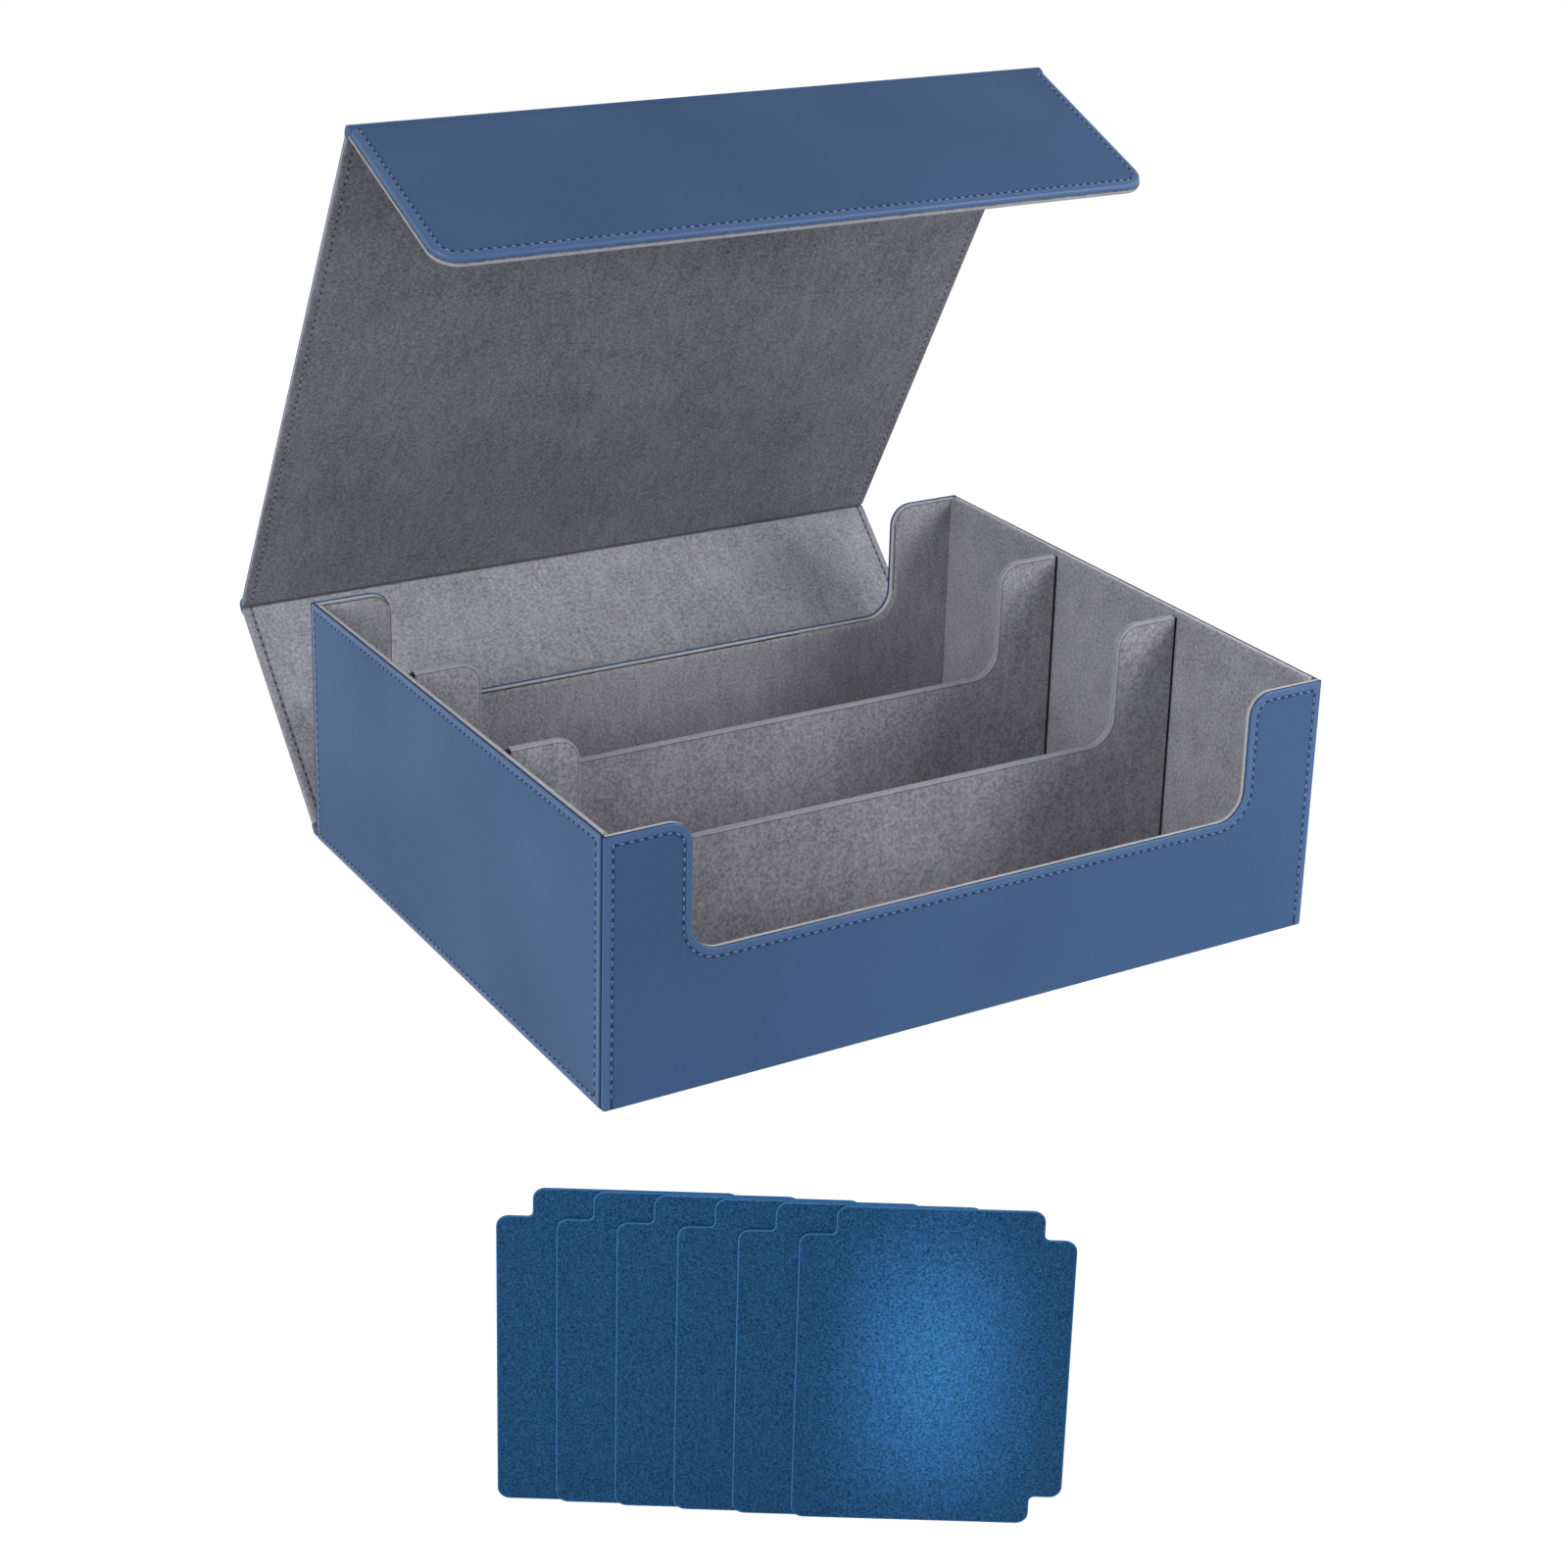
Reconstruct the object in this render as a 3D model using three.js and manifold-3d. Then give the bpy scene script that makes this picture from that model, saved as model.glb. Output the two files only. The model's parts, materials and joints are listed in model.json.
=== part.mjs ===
// Flip-lid card storage box: a tray with three rows and hand notches, a folding cover with a
// magnetic front flap, and a set of loose divider cards that stand in front of the tray.
// Millimetres, +Z up, X along the front wall, the origin under the middle of the tray.
import * as THREE from "three";
import { mergeVertices } from "three/addons/utils/BufferGeometryUtils.js";
import Module from "manifold-3d";

const wasm = await Module();
wasm.setup();

// Tray over everything
const trayWidth = 330;
const trayDepth = 270;
const trayHeight = 110;
const rowCount = 3;

// Layers of the walls, from the outside in
const wallLeather = 1;
const wallBoard = 3;
const wallLining = 1;

// Layers of the floor, from the table up
const baseLeather = 1;
const floorBoard = 2.5;
const floorLining = 1;

// Layers of a partition
const partitionBoard = 2;
const partitionLining = 1;
const partitionDrop = 1;

// Hand notch of the front wall, the back wall and the partitions. Its floor is a share of the
// tray's height.
const notchFloorShare = 0.509;
const tabWidth = 36.5;
const tabRadius = 10;
const notchRadius = 12;

// Layers of the cover panels, from the outside in, with the glue line between them
const coverLeather = 1;
const coverBoard = 1.8;
const coverLining = 1.2;
const glueLine = 0.3;
const coverRim = 1;
const coverLiningInset = 0.4;

// Fit of the cover round the closed tray. The flap's length is a share of the tray's height.
const foldClearance = 0.3;
const backClearance = 0.3;
const tableClearance = 0.2;
const lidClearance = 2.2;
const flapClearance = 1.5;
const flapShare = 0.827;
const flapRadius = 11;
const panelRadius = 1.5;

// How far the cover stands open
const spineLeanDegrees = 46;
const lidLeanDegrees = 29;
const flapDroopDegrees = 22.5;

// Magnets that hold the flap shut
const magnetLength = 20;
const magnetHeight = 10;
const wallMagnetThickness = 2;
const flapMagnetThickness = 1.6;
const magnetClearance = 0.3;
const magnetPairWidth = 180;
const magnetFromFlapEdge = 10.5;

// Divider cards, cut to drop into a row under the closed lid
const cardCount = 6;
const cardThickness = 0.6;
const cardSideClearance = 5;
const cardHeadroom = 0.5;
const cardRadius = 3.6;
const cardInnerRadius = 1.6;
const cardNotchWidth = 9.4;
const cardNotchHeight = 9.3;
const cardLeftNotchWidth = 10.5;

// How the cards stand: fanned to the right, each in front of the last
const cardStepWidth = 17.3;
const cardGap = 0.3;
const deckLeft = 225;
const deckForward = 227;
const deckTurnDegrees = -31.8;

// Fineness of the round stretches, and how far a cutter runs past what it cuts
const arcSteps = 5;
const foldSides = 24;
const overrun = 1;

// Worked out from the sizes above
const halfWidth = trayWidth / 2;
const halfDepth = trayDepth / 2;
const notchFloor = notchFloorShare * trayHeight;
const flapLength = flapShare * trayHeight;
const wallThickness = wallLeather + wallBoard + wallLining;
const partitionThickness = partitionBoard + 2 * partitionLining;
const floorBoardTop = baseLeather + floorBoard;
const floorTop = floorBoardTop + floorLining;
const rowLength = trayWidth - 2 * wallThickness;
const rowDepth =
  (trayDepth - 2 * wallThickness - (rowCount - 1) * partitionThickness) / rowCount;
const coverThickness = coverLeather + coverBoard + coverLining + 2 * glueLine;
const panelStart = coverThickness / 2 + foldClearance;
const hingeDepth = halfDepth + backClearance + coverThickness / 2;
const hingeHeight = tableClearance + coverThickness / 2;
const closedLidHeight = trayHeight + lidClearance + coverThickness / 2;
const closedFlapDepth = halfDepth + flapClearance + coverThickness / 2;
const magnetAboveTable = closedLidHeight - flapLength + magnetFromFlapEdge;
const spineLength = closedLidHeight - hingeHeight;
const lidLength = hingeDepth + closedFlapDepth;
const cardWidth = rowDepth - cardSideClearance;
const cardHeight = trayHeight - floorTop - cardHeadroom;
const magnetSides = [["left", -1], ["right", 1]];

// Finishes
const leatherFinish = new THREE.MeshStandardMaterial({
  color: 0x3f5b84, roughness: 0.5, metalness: 0,
});
const liningFinish = new THREE.MeshStandardMaterial({
  color: 0x77757c, roughness: 0.95, metalness: 0,
});
const boardFinish = new THREE.MeshStandardMaterial({
  color: 0x9a8f80, roughness: 0.9, metalness: 0,
});
const magnetFinish = new THREE.MeshStandardMaterial({
  color: 0xb4b4b6, roughness: 0.3, metalness: 1,
});
const cardFinish = new THREE.MeshStandardMaterial({
  color: 0x1f5a96, roughness: 0.6, metalness: 0,
});

// Solids from closed geometry, and back
function solidOf(geometry) {
  const bare = geometry.clone();
  bare.deleteAttribute("normal");
  bare.deleteAttribute("uv");
  const merged = mergeVertices(bare);
  return new wasm.Manifold(new wasm.Mesh({
    numProp: 3,
    vertProperties: new Float32Array(merged.attributes.position.array),
    triVerts: new Uint32Array(merged.index.array),
  }));
}

function geometryOf(solid) {
  const { vertProperties, triVerts } = solid.getMesh();
  const geometry = new THREE.BufferGeometry();
  geometry.setAttribute("position", new THREE.BufferAttribute(vertProperties, 3));
  geometry.setIndex(new THREE.BufferAttribute(triVerts, 1));
  geometry.computeVertexNormals();
  return geometry;
}

function cut(geometry, cutters) {
  const cutAway = (solid, cutter) => solid.subtract(solidOf(cutter));
  return geometryOf(cutters.reduce(cutAway, solidOf(geometry)));
}

function block(low, high) {
  const [x, y, z] = high.map((value, axis) => value - low[axis]);
  const geometry = new THREE.BoxGeometry(x, y, z);
  return geometry.translate(low[0] + x / 2, low[1] + y / 2, low[2] + z / 2);
}

// An outline in X and Z, made solid from the back face towards -Y
function standing(outline, backFace, thickness) {
  const settings = { depth: thickness, bevelEnabled: false, curveSegments: arcSteps };
  const geometry = new THREE.ExtrudeGeometry(outline, settings);
  return geometry.rotateX(Math.PI / 2).translate(0, backFace, 0);
}

// An outline in X and Y, made solid from its lower face up
function lying(outline, lowerFace, thickness) {
  const settings = { depth: thickness, bevelEnabled: false, curveSegments: arcSteps };
  return new THREE.ExtrudeGeometry(outline, settings).translate(0, 0, lowerFace);
}

function mesh(name, geometry, finish) {
  const made = new THREE.Mesh(geometry, finish);
  made.name = name;
  return made;
}

// The outline of a notched wall: two tabs with a round-cornered hand notch between them.
// A positive inset draws the top and the notch back under a lining of that thickness.
function notchedOutline(halfLength, bottom, top, inset) {
  const notchSide = halfWidth - tabWidth + inset;
  const level = notchFloor - inset;
  const crown = top - inset;
  const outer = tabRadius - inset;
  const inner = notchRadius + inset;
  const outline = new THREE.Shape();
  outline.moveTo(-halfLength, bottom);
  outline.lineTo(halfLength, bottom);
  outline.lineTo(halfLength, crown);
  outline.lineTo(notchSide + outer, crown);
  outline.absarc(notchSide + outer, crown - outer, outer, Math.PI / 2, Math.PI, false);
  outline.lineTo(notchSide, level + inner);
  outline.absarc(notchSide - inner, level + inner, inner, 0, -Math.PI / 2, true);
  outline.lineTo(inner - notchSide, level);
  outline.absarc(inner - notchSide, level + inner, inner, -Math.PI / 2, -Math.PI, true);
  outline.lineTo(-notchSide, crown - outer);
  outline.absarc(-notchSide - outer, crown - outer, outer, 0, Math.PI / 2, false);
  outline.lineTo(-halfLength, crown);
  outline.closePath();
  return outline;
}

// Floor of the tray
function baseLeatherSheet() {
  const geometry = block([-halfWidth, -halfDepth, 0], [halfWidth, halfDepth, baseLeather]);
  return mesh("base_leather", geometry, leatherFinish);
}

function floorBoardPanel() {
  const x = halfWidth - wallLeather - wallBoard;
  const y = halfDepth - wallLeather - wallBoard;
  const geometry = block([-x, -y, baseLeather], [x, y, floorBoardTop]);
  return mesh("floor_board", geometry, boardFinish);
}

// The front face of a row, counted from the back of the tray
function rowFront(row) {
  return halfDepth - wallThickness - row * rowDepth - (row - 1) * partitionThickness;
}

function rowFloorLining(row) {
  const front = rowFront(row);
  const geometry = block(
    [-rowLength / 2, front, floorBoardTop],
    [rowLength / 2, front + rowDepth, floorTop],
  );
  return mesh(`row_${row}_floor_lining`, geometry, liningFinish);
}

// Front and back walls. The back face of each layer of a wall, by how deep the layer lies
// under the wall's outside: toFront is 1 on the front wall and -1 on the back wall.
function layerBack(toFront, depth, thickness) {
  return toFront > 0 ? depth + thickness - halfDepth : halfDepth - depth;
}

function endWallLeather(name, toFront) {
  const outline = notchedOutline(halfWidth, baseLeather, trayHeight, 0);
  const geometry = standing(outline, layerBack(toFront, 0, wallLeather), wallLeather);
  return mesh(`${name}_wall_leather`, geometry, leatherFinish);
}

function wallMagnetBlock(toRight, clearance) {
  const x = toRight * magnetPairWidth / 2;
  const outside = wallLeather - halfDepth;
  const openSide = clearance > 0 ? overrun : 0;
  const halfLength = magnetLength / 2 + clearance;
  const halfHeight = magnetHeight / 2 + clearance;
  return block(
    [x - halfLength, outside - openSide, magnetAboveTable - halfHeight],
    [x + halfLength, outside + wallMagnetThickness, magnetAboveTable + halfHeight],
  );
}

function endWallBoard(name, toFront) {
  const outline = notchedOutline(halfWidth - wallLeather, baseLeather, trayHeight, wallLining);
  const back = layerBack(toFront, wallLeather, wallBoard);
  const solid = standing(outline, back, wallBoard);
  const pockets = toFront > 0
    ? magnetSides.map(([, toRight]) => wallMagnetBlock(toRight, magnetClearance))
    : [];
  return mesh(`${name}_wall_board`, cut(solid, pockets), boardFinish);
}

// The lining covers the inside of the wall and turns over the board's top edge as a lip.
function endWallLining(name, toFront) {
  const halfLength = halfWidth - wallLeather;
  const thickness = wallBoard + wallLining;
  const back = layerBack(toFront, wallLeather, thickness);
  const outline = notchedOutline(halfLength, floorBoardTop, trayHeight, 0);
  const boardRoom = notchedOutline(
    halfLength + overrun, floorBoardTop - overrun, trayHeight, wallLining,
  );
  const boardDepth = wallBoard + overrun;
  const boardBack = toFront > 0
    ? back - wallLining
    : back + overrun;
  const innerFace = toFront > 0 ? back - wallLining : back - thickness;
  const cornerRoom = (toRight) => {
    const inside = toRight * (halfLength - wallBoard);
    const outside = toRight * (halfLength + overrun);
    const front = toFront > 0 ? innerFace : innerFace - overrun;
    return block(
      [Math.min(inside, outside), front, floorBoardTop - overrun],
      [Math.max(inside, outside), front + wallLining + overrun, trayHeight - wallLining],
    );
  };
  const solid = standing(outline, back, thickness);
  const room = standing(boardRoom, boardBack, boardDepth);
  const geometry = cut(solid, [room, cornerRoom(-1), cornerRoom(1)]);
  return mesh(`${name}_wall_lining`, geometry, liningFinish);
}

// Side walls
function sideWallLeather(name, toRight) {
  const outside = toRight * halfWidth;
  const inside = toRight * (halfWidth - wallLeather);
  const end = halfDepth - wallLeather;
  const geometry = block(
    [Math.min(outside, inside), -end, baseLeather],
    [Math.max(outside, inside), end, trayHeight],
  );
  return mesh(`${name}_wall_leather`, geometry, leatherFinish);
}

function sideWallBoard(name, toRight) {
  const outside = toRight * (halfWidth - wallLeather);
  const inside = outside - toRight * wallBoard;
  const end = halfDepth - wallLeather - wallBoard;
  const geometry = block(
    [Math.min(outside, inside), -end, baseLeather],
    [Math.max(outside, inside), end, trayHeight - wallLining],
  );
  return mesh(`${name}_wall_board`, geometry, boardFinish);
}

function sideWallLining(name, toRight) {
  const lip = halfWidth - wallLeather;
  const boardFace = lip - wallBoard;
  const inside = boardFace - wallLining;
  const end = halfDepth - wallThickness;
  const outline = new THREE.Shape([
    new THREE.Vector2(toRight * inside, floorBoardTop),
    new THREE.Vector2(toRight * boardFace, floorBoardTop),
    new THREE.Vector2(toRight * boardFace, trayHeight - wallLining),
    new THREE.Vector2(toRight * lip, trayHeight - wallLining),
    new THREE.Vector2(toRight * lip, trayHeight),
    new THREE.Vector2(toRight * inside, trayHeight),
  ]);
  return mesh(`${name}_wall_lining`, standing(outline, end, 2 * end), liningFinish);
}

// Partitions
function partitionBoardPanel(index) {
  const outline = notchedOutline(
    rowLength / 2, floorBoardTop, trayHeight - partitionDrop, partitionLining,
  );
  const back = rowFront(index) - partitionLining;
  const geometry = standing(outline, back, partitionBoard);
  return mesh(`partition_${index}_board`, geometry, boardFinish);
}

function partitionCover(index) {
  const top = trayHeight - partitionDrop;
  const outline = notchedOutline(rowLength / 2, floorBoardTop, top, 0);
  const boardRoom = notchedOutline(
    rowLength / 2 + overrun, floorBoardTop - overrun, top, partitionLining,
  );
  const solid = standing(outline, rowFront(index), partitionThickness);
  const room = standing(boardRoom, rowFront(index) - partitionLining, partitionBoard);
  return mesh(`partition_${index}_cover`, cut(solid, [room]), liningFinish);
}

function wallMagnet([side, toRight]) {
  return mesh(`wall_magnet_${side}`, wallMagnetBlock(toRight, 0), magnetFinish);
}

// A round bead of leather fills each fold, on the line about which the next panel turns.
function foldBead(name) {
  const radius = coverThickness / 2;
  const geometry = new THREE.CylinderGeometry(radius, radius, trayWidth, foldSides);
  return mesh(name, geometry.rotateZ(Math.PI / 2), leatherFinish);
}

function buildTray() {
  const tray = new THREE.Group();
  tray.add(baseLeatherSheet(), floorBoardPanel());
  for (const [name, toFront] of [["front", 1], ["back", -1]]) {
    tray.add(endWallLeather(name, toFront));
    tray.add(endWallBoard(name, toFront));
    tray.add(endWallLining(name, toFront));
  }
  for (const [name, toRight] of magnetSides) {
    tray.add(sideWallLeather(name, toRight));
    tray.add(sideWallBoard(name, toRight));
    tray.add(sideWallLining(name, toRight));
  }
  for (let row = 1; row <= rowCount; row += 1) {
    tray.add(rowFloorLining(row));
  }
  for (let index = 1; index < rowCount; index += 1) {
    tray.add(partitionBoardPanel(index));
    tray.add(partitionCover(index));
  }
  tray.add(...magnetSides.map(wallMagnet));
  const bead = foldBead("base_fold");
  bead.position.set(0, hingeDepth, hingeHeight);
  tray.add(bead);
  return tray;
}

// Cover panels. Each lies in its own frame: X along the fold, Y away from the fold that
// carries it, Z towards the inside of the box, with the fold's line at the origin.
function panelOutline(start, end, endRadius, inset) {
  const x = halfWidth - inset;
  const low = start + inset;
  const high = end - inset;
  const near = Math.max(panelRadius - inset, 0);
  const far = Math.max(endRadius - inset, 0);
  const outline = new THREE.Shape();
  outline.moveTo(near - x, low);
  outline.lineTo(x - near, low);
  if (near > 0) outline.absarc(x - near, low + near, near, -Math.PI / 2, 0, false);
  outline.lineTo(x, high - far);
  if (far > 0) outline.absarc(x - far, high - far, far, 0, Math.PI / 2, false);
  outline.lineTo(far - x, high);
  if (far > 0) outline.absarc(far - x, high - far, far, Math.PI / 2, Math.PI, false);
  outline.lineTo(-x, low + near);
  if (near > 0) outline.absarc(near - x, low + near, near, Math.PI, Math.PI * 1.5, false);
  outline.closePath();
  return outline;
}

// The leather is a shallow pan: its face outside, its edges turned up round the board.
function panelLeather(name, end, endRadius) {
  const outside = -coverThickness / 2;
  const depth = coverLeather + glueLine + coverBoard;
  const solid = lying(panelOutline(panelStart, end, endRadius, 0), outside, depth);
  const room = lying(
    panelOutline(panelStart, end, endRadius, coverRim),
    outside + coverLeather,
    depth,
  );
  return mesh(`${name}_leather`, cut(solid, [room]), leatherFinish);
}

function panelBoard(name, end, endRadius, pockets) {
  const lower = coverLeather + glueLine - coverThickness / 2;
  const outline = panelOutline(panelStart, end, endRadius, coverRim + glueLine);
  const solid = lying(outline, lower, coverBoard);
  return mesh(`${name}_board`, cut(solid, pockets), boardFinish);
}

function panelLining(name, end, endRadius) {
  const lower = coverThickness / 2 - coverLining;
  const outline = panelOutline(panelStart, end, endRadius, coverLiningInset);
  return mesh(`${name}_lining`, lying(outline, lower, coverLining), liningFinish);
}

function coverPanel(name, end, endRadius, pockets) {
  const panel = new THREE.Group();
  panel.add(panelLeather(name, end, endRadius));
  panel.add(panelBoard(name, end, endRadius, pockets));
  panel.add(panelLining(name, end, endRadius));
  return panel;
}

// The flap's magnets lie in slots of its board, level with the wall's when the box is shut.
function flapMagnetBlock(toRight, clearance, thickness) {
  const x = toRight * magnetPairWidth / 2;
  const y = flapLength - magnetFromFlapEdge;
  const middle = coverLeather + glueLine + coverBoard / 2 - coverThickness / 2;
  const halfLength = magnetLength / 2 + clearance;
  const halfHeight = magnetHeight / 2 + clearance;
  return block(
    [x - halfLength, y - halfHeight, middle - thickness / 2],
    [x + halfLength, y + halfHeight, middle + thickness / 2],
  );
}

function flapMagnet([side, toRight]) {
  const geometry = flapMagnetBlock(toRight, 0, flapMagnetThickness);
  return mesh(`flap_magnet_${side}`, geometry, magnetFinish);
}

function buildFlap() {
  const slot = ([, toRight]) =>
    flapMagnetBlock(toRight, magnetClearance, coverBoard + 2 * overrun);
  const flap = coverPanel("flap", flapLength, flapRadius, magnetSides.map(slot));
  flap.add(...magnetSides.map(flapMagnet));
  return flap;
}

function addFold(panel, length, beadName, next, turnDegrees) {
  const bead = foldBead(beadName);
  bead.position.set(0, length, 0);
  next.position.set(0, length, 0);
  next.rotation.x = THREE.MathUtils.degToRad(turnDegrees);
  panel.add(bead, next);
}

function buildCover() {
  const right = 90;
  const spine = coverPanel("spine", spineLength - panelStart, panelRadius, []);
  const lid = coverPanel("lid", lidLength - panelStart, panelRadius, []);
  const flapFold = right + flapDroopDegrees - lidLeanDegrees;
  addFold(lid, lidLength, "flap_fold", buildFlap(), flapFold);
  addFold(spine, spineLength, "lid_fold", lid, spineLeanDegrees + lidLeanDegrees);
  spine.position.set(0, hingeDepth, hingeHeight);
  spine.rotation.x = THREE.MathUtils.degToRad(right - spineLeanDegrees);
  return spine;
}

// A divider card: both top corners and the lower right one are notched for the finger.
function cardOutline() {
  const side = cardWidth / 2;
  const r = cardRadius;
  const inner = cardInnerRadius;
  const outline = new THREE.Shape();
  // A corner that turns out by a quarter, or in by a quarter, from the angle it starts at
  const outward = (x, z, radius, start) =>
    outline.absarc(x, z, radius, start, start + Math.PI / 2, false);
  const inward = (x, z, radius, start) =>
    outline.absarc(x, z, radius, start, start - Math.PI / 2, true);
  const rightStep = side - cardNotchWidth;
  const leftStep = cardLeftNotchWidth - side;
  const shoulder = cardHeight - cardNotchHeight;
  outline.moveTo(r - side, 0);
  outward(rightStep - r, r, r, -Math.PI / 2);
  inward(rightStep + inner, cardNotchHeight - inner, inner, Math.PI);
  outward(side - r, cardNotchHeight + r, r, -Math.PI / 2);
  outward(side - r, shoulder - r, r, 0);
  inward(rightStep + inner, shoulder + inner, inner, -Math.PI / 2);
  outward(rightStep - r, cardHeight - r, r, 0);
  outward(leftStep + r, cardHeight - r, r, Math.PI / 2);
  inward(leftStep - inner, shoulder + inner, inner, 0);
  outward(r - side, shoulder - r, r, Math.PI / 2);
  outward(r - side, r, r, Math.PI);
  outline.closePath();
  return outline;
}

function dividerCard(number) {
  const fromMiddle = number - (cardCount + 1) / 2;
  const back = -(number - 1) * (cardThickness + cardGap);
  const geometry = standing(cardOutline(), back, cardThickness);
  const card = mesh(`divider_card_${number}`, geometry, cardFinish);
  card.position.x = fromMiddle * cardStepWidth;
  return card;
}

function buildDeck() {
  const deck = new THREE.Group();
  for (let number = 1; number <= cardCount; number += 1) {
    deck.add(dividerCard(number));
  }
  deck.position.set(-deckLeft, -halfDepth - deckForward, 0);
  deck.rotation.z = THREE.MathUtils.degToRad(deckTurnDegrees);
  return deck;
}

const cardBox = new THREE.Group();
cardBox.add(buildTray(), buildCover(), buildDeck());

export default cardBox;
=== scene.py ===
"""Looks of a flip-lid card storage box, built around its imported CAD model.

Everything is in metres and in the CAD model's frame: X runs along the front wall, Y from the
front wall to the hinged back wall, and Z up from the table.

A piece is modelled lying flat: its outline in X and Y, the side that shows facing +Z. It is then
put in its place, so a wall, a cover panel and a divider card are all made with the same tools.
"""

import json
import logging
import math
from collections.abc import Callable, Iterable, Iterator
from contextlib import contextmanager
from dataclasses import dataclass, field, replace
from enum import Enum
from typing import Any

import bmesh
import bpy
from mathutils import Matrix, Quaternion, Vector


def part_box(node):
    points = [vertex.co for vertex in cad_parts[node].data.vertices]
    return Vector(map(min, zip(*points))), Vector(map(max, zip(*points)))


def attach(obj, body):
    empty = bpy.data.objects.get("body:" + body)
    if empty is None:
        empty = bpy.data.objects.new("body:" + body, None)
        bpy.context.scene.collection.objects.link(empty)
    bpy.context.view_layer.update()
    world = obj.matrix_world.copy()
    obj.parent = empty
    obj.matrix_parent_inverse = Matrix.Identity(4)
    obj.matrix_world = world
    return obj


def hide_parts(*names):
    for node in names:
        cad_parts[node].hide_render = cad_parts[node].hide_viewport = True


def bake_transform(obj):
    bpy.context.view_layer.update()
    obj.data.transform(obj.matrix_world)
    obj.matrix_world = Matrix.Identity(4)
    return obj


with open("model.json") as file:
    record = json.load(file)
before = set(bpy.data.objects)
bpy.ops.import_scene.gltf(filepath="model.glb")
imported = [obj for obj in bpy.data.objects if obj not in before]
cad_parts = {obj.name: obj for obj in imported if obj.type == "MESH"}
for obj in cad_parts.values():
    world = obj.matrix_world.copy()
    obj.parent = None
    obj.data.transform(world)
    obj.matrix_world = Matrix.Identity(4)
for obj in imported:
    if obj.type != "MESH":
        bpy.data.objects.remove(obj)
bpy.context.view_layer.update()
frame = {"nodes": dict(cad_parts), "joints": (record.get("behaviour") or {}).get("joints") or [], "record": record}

log = logging.getLogger("card_box")

MM = 0.001
TINY = 0.01 * MM
RUN_OUT = 20 * MM
ARC_STEPS = 8
SMOOTH_ANGLE = math.radians(38)
SHARP_ANGLE = 1.0
HALF_TURN = math.pi
QUARTER_TURN = math.pi / 2
# How long a face's normal is along an axis that the face squarely faces
SQUARE = 0.999
# How long a normal may be along Z for its face to lie on a cut edge of a flat-made piece
STEEP = 0.35
UP = (0, 0, 1)
# Stands a flat-made piece up, so that it faces the front
UPRIGHT = Matrix.Rotation(QUARTER_TURN, 4, "X")
WHITE = (1.0, 1.0, 1.0, 1.0)

Piece = bpy.types.Object
Tree = bpy.types.NodeTree
Socket = bpy.types.NodeSocket
Values = dict[str | int, Any]
Test = Callable[[Any], bool]


class Element(Enum):
    """What a selection in edit mode is made of."""

    VERTEX = "VERT"
    EDGE = "EDGE"
    FACE = "FACE"


class Slot(Enum):
    """The record's material slots."""

    LEATHER = "leather"
    LINING = "lining"
    BOARD = "board"
    MAGNET = "magnet"
    CARD = "card"


class Body(Enum):
    """The moving bodies of the box. The divider cards have a numbered body each."""

    TRAY = "tray"
    SPINE = "spine"
    LID = "lid"
    FLAP = "flap"


# Colours and material nodes


def linear(code: str) -> tuple[float, float, float, float]:
    """Turns an sRGB hex colour into linear light.

    Args:
        code: the colour, such as "#40608d".

    Returns:
        Red, green, blue and an alpha of 1.
    """
    shares = [int(code[i:i + 2], 16) / 255 for i in (1, 3, 5)]
    light = [s / 12.92 if s <= 0.04045 else ((s + 0.055) / 1.055) ** 2.4 for s in shares]
    return (*light, 1.0)


def add_node(
    tree: Tree, kind: str, settings: Values | None = None, links: Values | None = None,
    output: str | int = 0,
) -> Socket | None:
    """Adds a node, sets it up and feeds its inputs.

    Args:
        tree: the node tree that it joins.
        kind: Blender's name of the node type.
        settings: values of its inputs or properties, by name or by an input's number.
        links: outputs of other nodes, by the name or number of the input that they feed.
        output: the name or number of the output that is wanted.

    Returns:
        That output of the new node, or None where the node ends the tree.
    """
    made = tree.nodes.new(kind)
    names = {socket.name for socket in made.inputs}
    for key, value in (settings or {}).items():
        if hasattr(made, str(key)):
            setattr(made, str(key), value)
    for key, value in (settings or {}).items():
        if not hasattr(made, str(key)):
            assert isinstance(key, int) or key in names, f"{kind} has no input {key}"
            made.inputs[key].default_value = value
    for key, source in (links or {}).items():
        tree.links.new(source, made.inputs[key])
    return made.outputs[output] if made.outputs else None


def empty_material(name: str) -> bpy.types.Material:
    """Makes a material with no nodes in it.

    Args:
        name: the material's name.

    Returns:
        The material.
    """
    material = bpy.data.materials.new(name)
    material.use_nodes = True
    material.node_tree.nodes.clear()
    return material


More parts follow.
